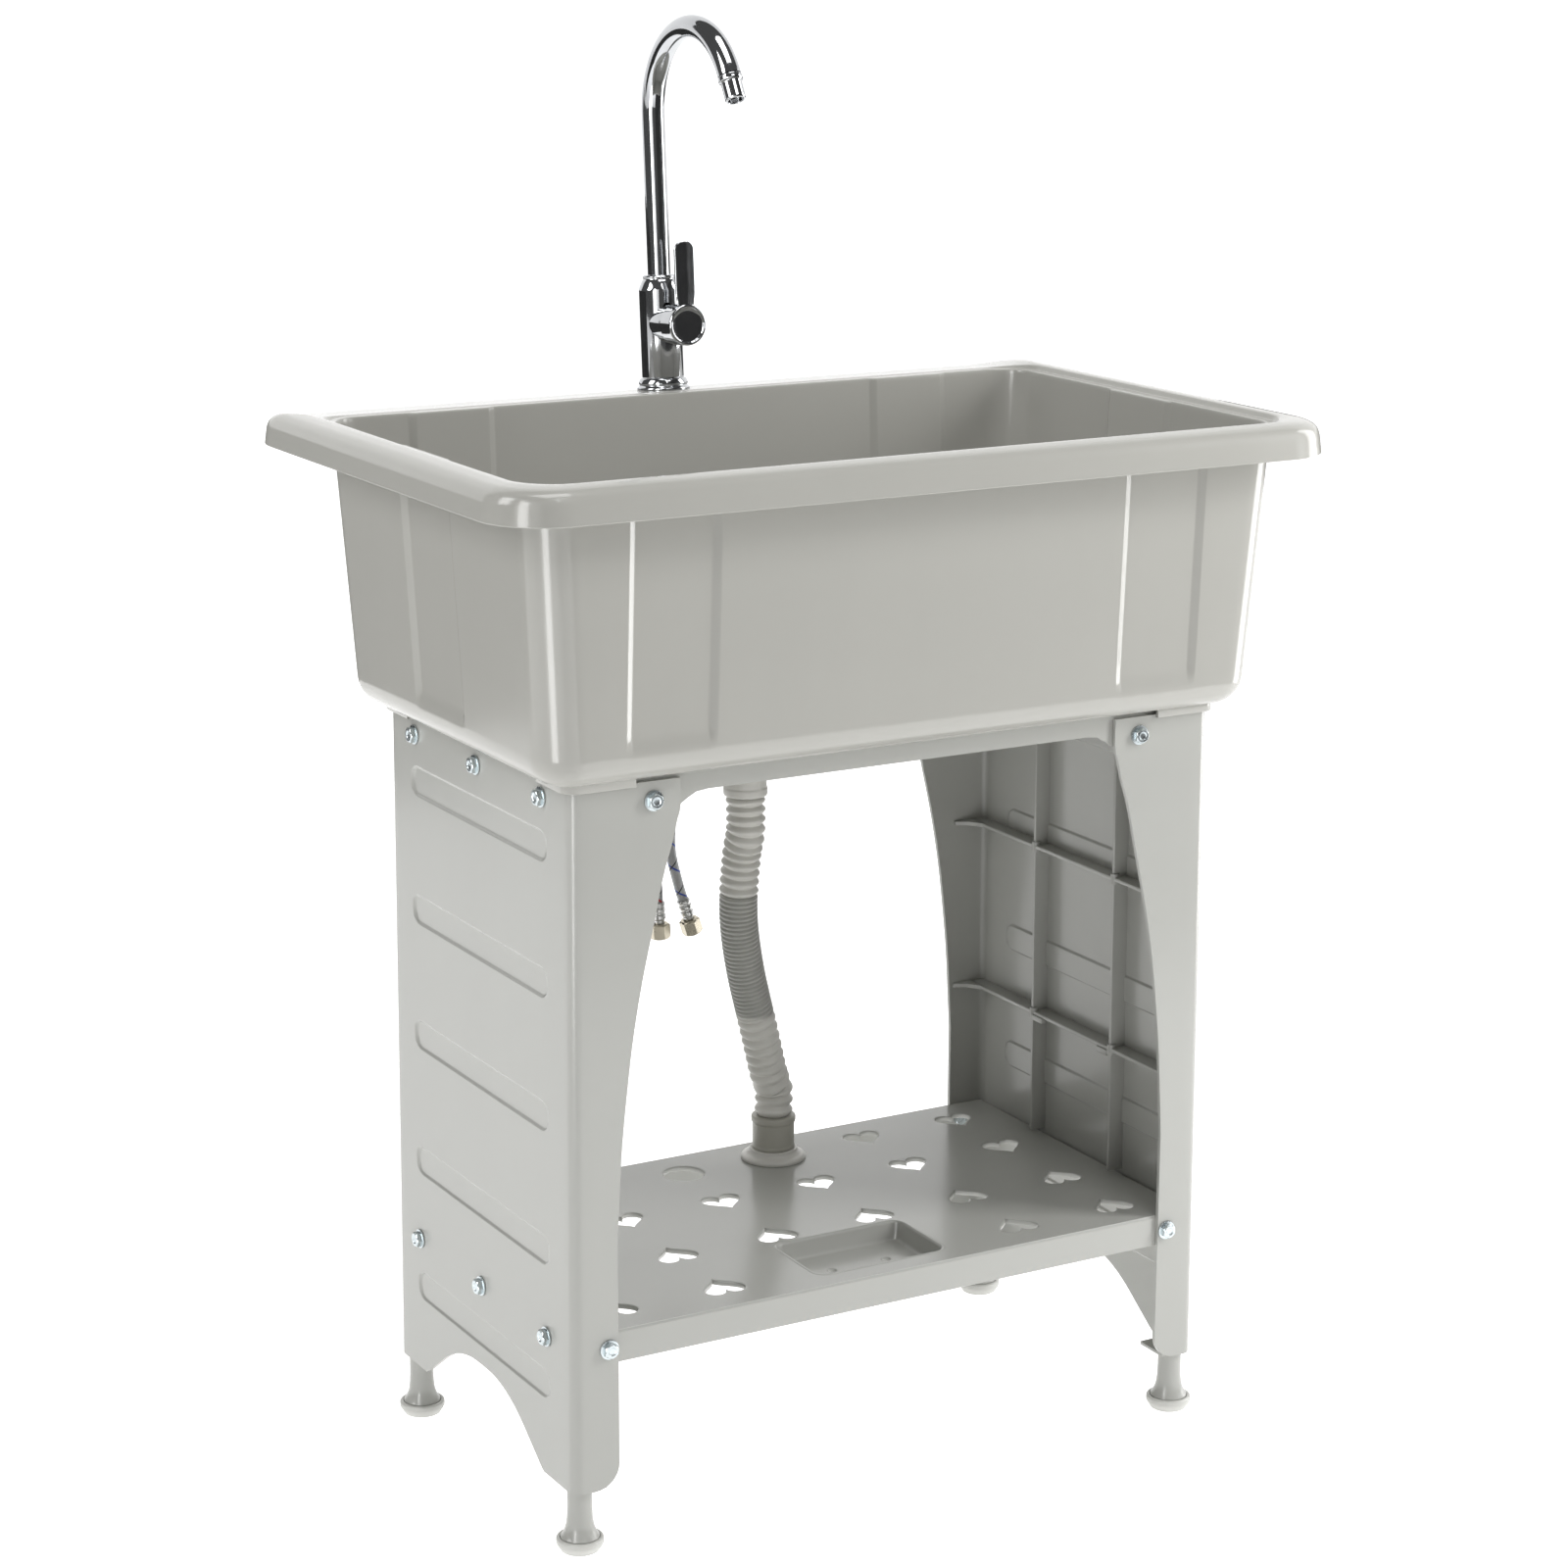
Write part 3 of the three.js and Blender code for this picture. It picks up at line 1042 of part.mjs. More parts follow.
function makeShelfFlange() {
  return turnedRing([
    [SPIGOT_BORE, SPIGOT_BOTTOM],
    [SPIGOT_RADIUS, SPIGOT_BOTTOM],
    [SPIGOT_RADIUS, SHELF_TOP + GAP],
    [FLANGE_RADIUS, SHELF_TOP + GAP],
    [FLANGE_RADIUS, SHELF_TOP + 2],
    [FLANGE_RADIUS - 2, SHELF_TOP + 3.5],
    [CUFF_RADIUS + 2, CUFF_BOTTOM - GAP],
    [SPIGOT_BORE, CUFF_BOTTOM - GAP],
  ]).translate(HOSE_HOLE_X, STAND_Y + HOSE_HOLE_Y, 0);
}

// The hose's line: straight down out of the sleeve, bowed, and straight down into the cuff.
function hoseLine() {
  const top = [0, DRAIN_Y, SLEEVE_BOTTOM - GAP];
  const end = [HOSE_HOLE_X, STAND_Y + HOSE_HOLE_Y, CUFF_TOP + GAP];
  const down = (point, by) => [point[0], point[1], point[2] - by];
  const bow = HOSE_BOW.map((shares) => shares.map((share, i) => top[i] + share * (end[i] - top[i])));
  const points = [top, down(top, HOSE_STRAIGHT), ...bow, down(end, -HOSE_FOOT), end];
  return new THREE.CatmullRomCurve3(points.map((p) => new THREE.Vector3(...p)), false, "centripetal");
}
const HOSE_LINE = hoseLine();
// Where along the hose each run of ribs ends, and how many ribs it has.
const HOSE_RUNS = [
  { until: 0.29, ribs: 11, valley: HOSE_VALLEY },
  { until: 0.67, ribs: 30, valley: HOSE_FINE_VALLEY },
  { until: 1, ribs: 11, valley: HOSE_VALLEY },
];

function makeDrainHose() {
  const sides = HOSE_SEGMENTS;
  const stations = [{ t: 0, radius: HOSE_VALLEY }];
  let from = 0;
  for (const run of HOSE_RUNS) {
    for (let i = 0; i < run.ribs; i++) {
      const step = (run.until - from) / run.ribs;
      stations.push({ t: from + step * (i + 0.5), radius: HOSE_RADIUS });
      stations.push({ t: from + step * (i + 1), radius: run.valley });
    }
    from = run.until;
  }
  const ribCount = HOSE_RUNS.reduce((sum, run) => sum + run.ribs, 0);
  const rings = stations.map(({ t, radius }) => hoseRing(t, radius, sides));
  const bores = [];
  for (let rib = ribCount; rib > 0; rib -= BORE_STEPS) {
    bores.push(hoseRing(stations[rib * 2].t, HOSE_BORE, sides));
  }
  bores.push(hoseRing(0, HOSE_BORE, sides));
  const all = [...rings, ...bores];
  const points = all.flat();
  const faces = [];
  for (let ring = 0; ring < all.length; ring++) {
    const next = (ring + 1) % all.length;
    for (let i = 0; i < sides; i++) {
      const j = (i + 1) % sides;
      const [a, b] = [ring * sides + i, ring * sides + j];
      const [c, d] = [next * sides + j, next * sides + i];
      faces.push(a, b, c, a, c, d);
    }
  }
  const geometry = new THREE.BufferGeometry();
  geometry.setAttribute("position", new THREE.Float32BufferAttribute(points.flat(), 3));
  geometry.setIndex(faces);
  return geometry;
}

// A ring square to the hose's line. Its first point stays square to the Y axis, so no ring twists.
function hoseRing(t, radius, sides) {
  const centre = HOSE_LINE.getPointAt(t);
  const along = HOSE_LINE.getTangentAt(t);
  const across = new THREE.Vector3(0, 1, 0).cross(along).normalize();
  const up = new THREE.Vector3().crossVectors(along, across);
  const points = [];
  for (let i = 0; i < sides; i++) {
    const a = (i / sides) * 2 * Math.PI;
    const p = centre.clone().addScaledVector(across, radius * Math.cos(a));
    p.addScaledVector(up, radius * Math.sin(a));
    points.push([p.x, p.y, p.z]);
  }
  return points;
}

// ---- Tap: drawn upright about its own axis, with z = 0 on the deck ----
const TAP_Z = deckZ(TAP_Y - OPENING_BACK);

function makeTapFlange() {
  return turnedRing([
    [SHANK_RADIUS + GAP, GAP],
    [TAP_FLANGE_RADIUS, GAP],
    [TAP_FLANGE_RADIUS, 2],
    [TAP_FLANGE_RADIUS - 1.8, 3.4],
    [TAP_FLANGE_RADIUS - 1.2, 5],
    [TAP_FLANGE_RADIUS - 2.4, 7.2],
    [TAP_RADIUS + 0.4, TAP_FLANGE_HEIGHT],
    [SHANK_RADIUS + GAP, TAP_FLANGE_HEIGHT],
  ]);
}

const BODY_SOCKET_TOP = TAP_FLANGE_HEIGHT + GAP + BODY_SOCKET;

function makeTapBody() {
  const bottom = TAP_FLANGE_HEIGHT + GAP;
  const column = turned([
    [0, BODY_SOCKET_TOP],
    [SHANK_BORE, BODY_SOCKET_TOP],
    [SHANK_BORE, bottom],
    [TAP_RADIUS, bottom],
    [TAP_RADIUS, TAP_SHOULDER],
    [TAP_RADIUS - 0.6, TAP_SHOULDER + 2],
    [TAP_NECK_RADIUS + 0.8, TAP_SHOULDER + 6.5],
    [TAP_NECK_RADIUS, TAP_SHOULDER + 8.5],
    [TAP_NECK_RADIUS, TAP_TOP - 0.8],
    [TAP_NECK_RADIUS - 0.8, TAP_TOP],
    [SPOUT_RADIUS + GAP, TAP_TOP],
    [SPOUT_RADIUS + GAP, TAP_TOP - SPOUT_SOCKET],
    [0, TAP_TOP - SPOUT_SOCKET],
  ]);
  const boss = rod(BOSS_RADIUS, 0, BALL_CENTRE + BALL_SEAM - 1 - GAP);
  boss.rotateX(Math.PI / 2).translate(0, 0, BOSS_LEVEL);
  return join(column, boss);
}

class SpoutLine extends THREE.Curve {
  getPoint(t, target = new THREE.Vector3()) {
    const foot = TAP_TOP - SPOUT_SOCKET + GAP;
    const rise = SPOUT_RISE - foot;
    const sweep = THREE.MathUtils.degToRad(SPOUT_SWEEP);
    const bend = SPOUT_ARC * sweep;
    const s = t * (rise + bend);
    if (s < rise) return target.set(0, 0, foot + s);
    const a = (s - rise) / SPOUT_ARC;
    return target.set(0, -SPOUT_ARC * (1 - Math.cos(a)), SPOUT_RISE + SPOUT_ARC * Math.sin(a));
  }
}

function makeSpout() {
  const section = new THREE.Shape().absarc(0, 0, SPOUT_RADIUS, 0, 2 * Math.PI);
  const bore = new THREE.Path().absarc(0, 0, SPOUT_BORE, 0, 2 * Math.PI, true);
  section.holes.push(new THREE.Path(bore.getPoints(4)));
  const options = { extrudePath: new SpoutLine(), steps: 15, curveSegments: 6, bevelEnabled: false };
  return new THREE.ExtrudeGeometry(section, options);
}

function makeAerator() {
  const piece = turned([
    [0, -AERATOR_LENGTH + 9],
    [AERATOR_RADIUS - 2, -AERATOR_LENGTH + 9],
    [AERATOR_RADIUS - 2, -AERATOR_LENGTH],
    [AERATOR_RADIUS - 0.5, -AERATOR_LENGTH],
    [AERATOR_RADIUS, -AERATOR_LENGTH + 0.8],
    [AERATOR_RADIUS, -5],
    [SPOUT_RADIUS + 0.2, -4],
    [SPOUT_RADIUS + 0.2, -1],
    [SPOUT_RADIUS - 0.5, -GAP],
    [0, -GAP],
  ]);
  const a = THREE.MathUtils.degToRad(SPOUT_SWEEP);
  piece.rotateX(-(Math.PI - a));
  return piece.translate(
    0,
    -SPOUT_ARC * (1 - Math.cos(a)),
    SPOUT_RISE + SPOUT_ARC * Math.sin(a),
  );
}

// The ball cap and the knob are turned about an axis that points to the front.
const BALL_RADIUS = Math.hypot(KNOB_RADIUS, BALL_SEAM);

function towardsFront(geometry) {
  return geometry.rotateX(Math.PI / 2).translate(0, -BALL_CENTRE, BOSS_LEVEL);
}

function ballArc(radius, fromRadius, toRadius, steps = 4) {
  const a = Math.asin(fromRadius / radius);
  const b = Math.asin(toRadius / radius);
  const arc = [];
  for (let i = 0; i <= steps; i++) {
    const angle = a + ((b - a) * i) / steps;
    arc.push([radius * Math.sin(angle), radius * Math.cos(angle)]);
  }
  return arc;
}

function makeBallCap() {
  const radius = BALL_RADIUS - BALL_GAP;
  return towardsFront(turned([
    [0, BALL_SEAM - 1],
    [BOSS_RADIUS, BALL_SEAM - 1],
    ...ballArc(radius, BOSS_RADIUS, 0),
  ]));
}

function makeKnob() {
  const front = KNOB_FRONT - BALL_CENTRE;
  return towardsFront(turned([
    ...ballArc(BALL_RADIUS, 0, KNOB_RADIUS),
    [KNOB_RADIUS, front - 1],
    [KNOB_RADIUS - 0.7, front],
    [KNOB_RADIUS - 1.8, front],
    [KNOB_RADIUS - 2.4, front - KNOB_RECESS],
    [0, front - KNOB_RECESS],
  ], KNOB_SEGMENTS));
}

function makeLever() {
  const shape = new THREE.Shape();
  const half = LEVER_WIDTH / 2;
  const top = BOSS_LEVEL + LEVER_REACH;
  shape.moveTo(-half, BOSS_LEVEL);
  shape.lineTo(half, BOSS_LEVEL);
  shape.lineTo(half, top - LEVER_CORNER);
  shape.absarc(half - LEVER_CORNER, top - LEVER_CORNER, LEVER_CORNER, 0, Math.PI / 2);
  shape.absarc(-half + LEVER_CORNER, top - LEVER_CORNER, LEVER_CORNER, Math.PI / 2, Math.PI);
  const back = -KNOB_FRONT + 1 + LEVER_THICK;
  const blade = alongY(shape, back - LEVER_THICK, back, 4);
  const knob = rod(KNOB_RADIUS + GAP, 0, KNOB_FRONT + OVERSHOOT, KNOB_SEGMENTS);
  knob.rotateX(Math.PI / 2).translate(0, 0, BOSS_LEVEL);
  return cut(blade, knob);
}

function makeShank() {
  return tube(SHANK_RADIUS, SHANK_BORE, SHANK_BOTTOM, TAP_FLANGE_HEIGHT);
}

function makeTapWasher() {
  const top = -WALL - GAP;
  return tube(TAP_WASHER_RADIUS, SHANK_RADIUS + GAP, top - TAP_WASHER_THICK, top);
}

function makeTapNut() {
  const top = -WALL - 2 * GAP - TAP_WASHER_THICK;
  const hexagon = rod(TAP_NUT_RADIUS, top - TAP_NUT_HEIGHT, top, 6);
  return cut(hexagon, rod(SHANK_RADIUS + GAP, top - TAP_NUT_HEIGHT - 1, top + 1));
}

// ---- Supply hoses ----
// A hose starts under its tail, on the tap's leaning axis, and follows its bow.
function supplyPath(side, bow) {
  const foot = TAIL_END - GAP;
  const start = [
    side * TAIL_SPREAD,
    TAP_Y + foot * Math.sin(DECK_SLOPE),
    TAP_Z + foot * Math.cos(DECK_SLOPE),
  ];
  return [start, ...bow.map(([x, y, drop]) => [x, TAP_Y + y, RIM_HEIGHT - drop])];
}

function hoseCurve(path) {
  return new THREE.CatmullRomCurve3(path.map((p) => new THREE.Vector3(...p)), false, "centripetal");
}

function makeSupplyHose(path) {
  const section = new THREE.Shape().absarc(0, 0, SUPPLY_RADIUS, 0, 2 * Math.PI);
  const steps = 18;
  const options = { extrudePath: hoseCurve(path), steps, curveSegments: 4, bevelEnabled: false };
  return new THREE.ExtrudeGeometry(section, options);
}

// A piece drawn with its top at z = 0, hung on the lower end of a supply hose and turned to its line.
function onHose(mesh, path, gap) {
  const curve = hoseCurve(path);
  const down = curve.getTangentAt(1);
  const point = curve.getPointAt(1).addScaledVector(down, gap);
  mesh.position.copy(point);
  mesh.quaternion.setFromUnitVectors(new THREE.Vector3(0, 0, -1), down);
  return mesh;
}

function makeTail(side) {
  const nut = rod(TAIL_NUT_RADIUS, TAIL_END + GAP, TAIL_END + TAIL_NUT_LENGTH, 8);
  const stem = rod(TAIL_RADIUS_TOP, TAIL_END + TAIL_NUT_LENGTH - 1, BODY_SOCKET_TOP - GAP, 8);
  return join(nut, stem).translate(side * TAIL_SPREAD, 0, 0);
}

function makeFerrule() {
  const sleeve = rod(FERRULE_RADIUS, -FERRULE_LENGTH + 3, 0, 16);
  const neck = rod(FERRULE_RADIUS - 1, -FERRULE_LENGTH - HOSE_NUT_LENGTH * 0.6, -FERRULE_LENGTH + 4, 16);
  return join(sleeve, neck);
}

function makeHoseNut() {
  const top = -FERRULE_LENGTH;
  const bore = FERRULE_RADIUS - 1 + GAP;
  const bottom = top - HOSE_NUT_LENGTH;
  const hexagon = rod(HOSE_NUT_RADIUS, bottom, top, 6);
  const limit = turned([
    [0, bottom],
    [HOSE_NUT_RADIUS - 1, bottom],
    [HOSE_NUT_RADIUS, bottom + 1],
    [HOSE_NUT_RADIUS, top - 1.5],
    [HOSE_NUT_RADIUS - 1.2, top],
    [0, top],
  ], 12);
  const opening = turned([
    [0, bottom - 1],
    [HOSE_NUT_RADIUS - 2.2, bottom - 1],
    [HOSE_NUT_RADIUS - 2.2, top - HOSE_NUT_LENGTH * 0.6 - GAP],
    [bore, top - HOSE_NUT_LENGTH * 0.6 + 1],
    [bore, top + 1],
    [0, top + 1],
  ], 12);
  return cut(common(hexagon, limit), opening);
}

// ---- Assembly ----
const sink = new THREE.Group();
const stand = new THREE.Group();
stand.position.y = STAND_Y;
const tap = new THREE.Group();
tap.position.set(0, TAP_Y, TAP_Z);
tap.rotation.x = -DECK_SLOPE;
sink.add(stand, tap);

function place(parent, name, geometry, material) {
  const mesh = new THREE.Mesh(geometry, material);
  mesh.name = name;
  parent.add(mesh);
  return mesh;
}

place(sink, "basin", makeBasin(), greyPlastic);
place(stand, "upper_frame", makeFrame(), greyPlastic);
place(stand, "shelf", makeShelf(), greyPlastic);
const panel = makePanel();
place(stand, "right_panel", panel, greyPlastic);
place(stand, "left_panel", panel, greyPlastic).scale.x = -1;

const cup = makeCup();
const sides = [["left", -1], ["right", 1]];
const ends = [["front", -1], ["back", 1]];
for (const [side, sx] of sides) {
  for (const [end, sy] of ends) {
    const name = `foot_cup_${end}_${side}`;
    place(stand, name, cup, whitePlastic).position.set(sx * FOOT_X, sy * FOOT_Y, 0);
  }
}

const bolt = makeBolt(PANEL_WALL + GAP + FRAME_WALL + GAP * 2);
for (const [side, sx] of sides) {
  const rows = [
    ["upper", UPPER_SIDE_BOLTS, UPPER_BOLT_Z],
    ["lower", LOWER_SIDE_BOLTS, LOWER_BOLT_Z],
  ];
  for (const [row, offsets, z] of rows) {
    offsets.forEach((y, i) => {
      const mesh = place(stand, `bolt_${side}_${row}_${i + 1}`, bolt, zinc);
      mesh.position.set(sx * (faceX(z) + GAP), y, z);
      mesh.rotation.y = (sx * Math.PI) / 2;
    });
  }
  for (const [end, sy] of ends) {
    const corners = [
      ["upper", UPPER_FACE_BOLT, UPPER_BOLT_Z],
      ["lower", LOWER_FACE_BOLT, LOWER_BOLT_Z],
    ];
    for (const [row, x, z] of corners) {
      const mesh = place(stand, `bolt_${end}_${side}_${row}`, bolt, zinc);
      mesh.position.set(sx * x, sy * (HALF_DEPTH + GAP), z);
      mesh.rotation.x = (-sy * Math.PI) / 2;
    }
  }
}

place(sink, "drain_strainer", makeStrainer(), steel);
place(sink, "strainer_basket", makeBasket(), steel);
place(sink, "drain_gasket", makeGasket(), rubber);
place(sink, "drain_locknut", makeLocknut(), whitePlastic);
place(sink, "drain_slip_nut", makeSlipNut(), whitePlastic);
place(sink, "drain_sleeve", makeSleeve(), hosePlastic);
place(sink, "drain_hose", makeDrainHose(), hosePlastic);
place(sink, "hose_cuff", makeCuff(), hosePlastic);
place(sink, "shelf_flange", makeShelfFlange(), hosePlastic);

place(tap, "tap_flange", makeTapFlange(), chrome);
place(tap, "tap_body", makeTapBody(), chrome);
place(tap, "tap_spout", makeSpout(), chrome);
place(tap, "tap_aerator", makeAerator(), chrome);
place(tap, "tap_ball_cap", makeBallCap(), chrome);
place(tap, "tap_knob", makeKnob(), chrome);
place(tap, "tap_lever", makeLever(), chrome);
place(tap, "tap_shank", makeShank(), brass);
place(tap, "tap_washer", makeTapWasher(), rubber);
place(tap, "tap_nut", makeTapNut(), brass);

for (const [name, bow, side] of [["hot", HOT_BOW, -1], ["cold", COLD_BOW, 1]]) {
  const path = supplyPath(side, bow);
  place(sink, `supply_hose_${name}`, makeSupplyHose(path), braid);
  place(tap, `supply_tail_${name}`, makeTail(side), brass);
  onHose(place(sink, `supply_ferrule_${name}`, makeFerrule(), steel), path, GAP);
  onHose(place(sink, `supply_nut_${name}`, makeHoseNut(), brass), path, GAP * 2);
}

export default sink;
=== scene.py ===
import math

import bmesh
import bpy
import numpy as np
from mathutils import Matrix, Vector


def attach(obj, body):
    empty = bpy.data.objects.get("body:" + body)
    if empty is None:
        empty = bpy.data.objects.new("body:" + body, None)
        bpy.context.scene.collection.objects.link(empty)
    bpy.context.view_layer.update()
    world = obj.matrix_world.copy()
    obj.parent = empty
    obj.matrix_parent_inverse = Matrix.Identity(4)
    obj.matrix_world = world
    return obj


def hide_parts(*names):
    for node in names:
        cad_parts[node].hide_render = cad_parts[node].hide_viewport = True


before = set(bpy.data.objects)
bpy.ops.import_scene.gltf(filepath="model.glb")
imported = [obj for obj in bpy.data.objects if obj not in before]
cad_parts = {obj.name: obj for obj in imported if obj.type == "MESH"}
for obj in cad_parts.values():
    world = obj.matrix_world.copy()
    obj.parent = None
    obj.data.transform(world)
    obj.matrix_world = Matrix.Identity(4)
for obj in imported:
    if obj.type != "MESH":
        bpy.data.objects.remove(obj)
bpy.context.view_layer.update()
mm = 0.001
print("frame loaded:", len(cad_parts), "nodes")

# the camera stands where the photograph was taken from
view = {
    "place": (-1.2658, -2.2181, 1.1217),
    "yaw": 29.63,
    "pitch": 14.10,
    "roll": 0.176,
    "lens": 83.64,
}


def makeCamera():
    yaw, pitch, roll = (math.radians(view[k]) for k in ("yaw", "pitch", "roll"))
    ahead = np.array([math.sin(yaw) * math.cos(pitch), math.cos(yaw) * math.cos(pitch), -math.sin(pitch)])
    right = np.array([math.cos(yaw), -math.sin(yaw), 0.0])
    up = np.cross(right, ahead)
    rolledRight = right * math.cos(roll) + up * math.sin(roll)
    rolledUp = up * math.cos(roll) - right * math.sin(roll)
    lens = bpy.data.cameras.new("photoCamera")
    lens.lens = view["lens"]
    lens.sensor_width = 36
    lens.clip_end = 60
    camera = bpy.data.objects.new("photoCamera", lens)
    bpy.context.scene.collection.objects.link(camera)
    matrix = Matrix.Identity(4)
    for column, axis in enumerate((rolledRight, rolledUp, -ahead, np.array(view["place"]))):
        for row in range(3):
            matrix[row][column] = axis[row]
    camera.matrix_world = matrix
    bpy.context.scene.camera = camera
    return camera


makeCamera()


# ---------- surfaces: every piece is a grid of points in millimetres, rows along, columns around ----------
def smoothStep(t):
    t = np.clip(t, 0, 1)
    return t * t * (3 - 2 * t)


def smoothThrough(xs, ys, x):
    # a cubic through given points: at each point the slope is the mean of its two neighbouring slopes
    xs, ys, x = (np.asarray(a, float) for a in (xs, ys, x))
    step = np.diff(ys) / np.diff(xs)
    slope = np.concatenate([step[:1], (step[:-1] + step[1:]) / 2, step[-1:]])
    i = np.clip(np.searchsorted(xs, x) - 1, 0, len(xs) - 2)
    h = xs[i + 1] - xs[i]
    t = np.clip((x - xs[i]) / h, 0, 1)
    return (
        ys[i] * (2 * t**3 - 3 * t**2 + 1)
        + slope[i] * h * (t**3 - 2 * t**2 + t)
        + ys[i + 1] * (3 * t**2 - 2 * t**3)
        + slope[i + 1] * h * (t**3 - t**2)
    )


def pathThrough(points, count):
    # a centripetal Catmull-Rom line through the points, cut into equal lengths
    p = np.asarray(points, float)
    p = np.vstack([2 * p[0] - p[1], p, 2 * p[-1] - p[-2]])
    gap = np.maximum(np.linalg.norm(np.diff(p, axis=0), axis=1) ** 0.5, 1e-4)[:, None]
    x0, x1, x2, x3 = p[:-3], p[1:-2], p[2:-1], p[3:]
    d0, d1, d2 = gap[:-2], gap[1:-1], gap[2:]
    t1 = ((x1 - x0) / d0 - (x2 - x0) / (d0 + d1) + (x2 - x1) / d1) * d1
    t2 = ((x2 - x1) / d1 - (x3 - x1) / (d1 + d2) + (x3 - x2) / d2) * d1
    t = np.linspace(0, 1, 80)[None, :, None]
    line = (
        x1[:, None] * (2 * t**3 - 3 * t**2 + 1)
        + t1[:, None] * (t**3 - 2 * t**2 + t)
        + x2[:, None] * (3 * t**2 - 2 * t**3)
        + t2[:, None] * (t**3 - t**2)
    ).reshape(-1, 3)
    far = np.concatenate([[0], np.cumsum(np.linalg.norm(np.diff(line, axis=0), axis=1))])
    at = np.linspace(0, far[-1], count)
    return np.stack([np.interp(at, far, line[:, k]) for k in range(3)], axis=1)


def rounded(profile, radii, steps=4):
    # a polyline whose corners are bent: each corner runs as a parabola between points a radius away from it
    p = np.asarray(profile, float)
    if np.isscalar(radii):
        radii = [radii] * len(p)
    out = [p[:1]]
    t = np.linspace(0, 1, steps + 1)[:, None]
    for a, b, c, r in zip(p[:-2], p[1:-1], p[2:], radii[1:-1]):
        before, after = np.linalg.norm(a - b), np.linalg.norm(c - b)
        if r <= 0 or before < 1e-6 or after < 1e-6:
            out.append(b[None])
            continue
        q1 = b + (a - b) * min(0.5, r / before)
        q2 = b + (c - b) * min(0.5, r / after)
        out.append((1 - t) ** 2 * q1 + 2 * t * (1 - t) * b + t**2 * q2)
    out.append(p[-1:])
    return np.vstack(out)


def roundedLoft(rings, radii, steps=5):
    # the same bend, of whole rings: the distance between two rings is the mean over their points
    out = []
    t = np.linspace(0, 1, steps + 1)[:, None, None]
    for i, (ring, r) in enumerate(zip(rings, radii)):
        a, c = rings[i - 1], rings[(i + 1) % len(rings)]
        before = np.linalg.norm(a - ring, axis=1).mean()
        after = np.linalg.norm(c - ring, axis=1).mean()
        if r <= 0:
            out.append(ring[None])
            continue
        q1 = ring + (a - ring) * min(0.5, r / before)
        q2 = ring + (c - ring) * min(0.5, r / after)
        out.append((1 - t) ** 2 * q1 + 2 * t * (1 - t) * ring + t**2 * q2)
    return np.concatenate(out)


def turned(profile, segments=64):
    # a profile of radius and height carried round the Z axis
    line = np.asarray(profile, float)
    a = np.linspace(0, 2 * math.pi, segments + 1)
    r, z = line[:, 0][:, None], line[:, 1][:, None]
    return np.stack([r * np.cos(a), r * np.sin(a), z + 0 * a], axis=2)


def hexTurned(profile, flat, segments=72):
    # as turned, but no point lies outside a hexagon whose corners are at the given radius
    grid = turned(profile, segments)
    a = np.linspace(0, 2 * math.pi, segments + 1)
    edge = flat * math.cos(math.pi / 6) / np.cos((a + math.pi / 6) % (math.pi / 3) - math.pi / 6)
    r = np.hypot(grid[..., 0], grid[..., 1])
    k = np.minimum(1, edge[None, :] / np.maximum(r, 1e-6))
    grid[..., 0] *= k
    grid[..., 1] *= k
    return grid


def alongPath(path, radius, across, segments=48):
    # a circle carried along a path and square to it: its first axis is square to the given direction too
    path = np.asarray(path, float)
    ahead = np.gradient(path, axis=0)
    ahead /= np.linalg.norm(ahead, axis=1)[:, None]
    side = np.cross(np.asarray(across, float), ahead)
    side /= np.linalg.norm(side, axis=1)[:, None]
    up = np.cross(ahead, side)
    a = np.linspace(0, 2 * math.pi, segments + 1)[None, :, None]
    r = np.broadcast_to(np.asarray(radius, float), (len(path),))[:, None, None]
    return path[:, None] + r * (side[:, None] * np.cos(a) + up[:, None] * np.sin(a))


def capped(grid):
    # closes both ends of a tube on the middle of its end rings
    shape = grid[:1].shape
    first, last = grid[0].mean(axis=0), grid[-1].mean(axis=0)
    return np.concatenate([np.broadcast_to(first, shape), grid, np.broadcast_to(last, shape)])


def atHeight(line, z):
    # a line drawn in plan, raised to one height
    return np.column_stack([line, np.full(len(line), z)])


def block(low, high, radius, steps=3):
    # a box with rounded edges: an eighth of a ball at each corner, its points pushed out to the box
    low, high = np.asarray(low, float), np.asarray(high, float)
    middle, half = (low + high) / 2, (high - low) / 2
    r = min(radius, half.min() * 0.98)
    q = np.linspace(0, math.pi / 2, steps + 1)
    round4 = np.concatenate([q + k * math.pi / 2 for k in range(4)] + [[2 * math.pi]])
    sx = np.concatenate([[s] * (steps + 1) for s in (1, -1, -1, 1)] + [[1]])
    sy = np.concatenate([[s] * (steps + 1) for s in (1, 1, -1, -1)] + [[1]])
    tilt = np.concatenate([q - math.pi / 2, q])
    sz = np.concatenate([[-1] * (steps + 1), [1] * (steps + 1)])
    x = sx * (half[0] - r) + r * np.cos(tilt)[:, None] * np.cos(round4)
    y = sy * (half[1] - r) + r * np.cos(tilt)[:, None] * np.sin(round4)
    z = (sz * (half[2] - r) + r * np.sin(tilt))[:, None] + 0 * x
    return capped(np.stack([x, y, z], axis=2) + middle)


def moved(grid, by):
    return grid + np.asarray(by, float)


def leanedX(points, degrees):
    # turned about the X axis
    a = math.radians(degrees)
    y, z = points[..., 1], points[..., 2]
    return np.stack([points[..., 0], y * math.cos(a) - z * math.sin(a), y * math.sin(a) + z * math.cos(a)],
                    axis=-1)


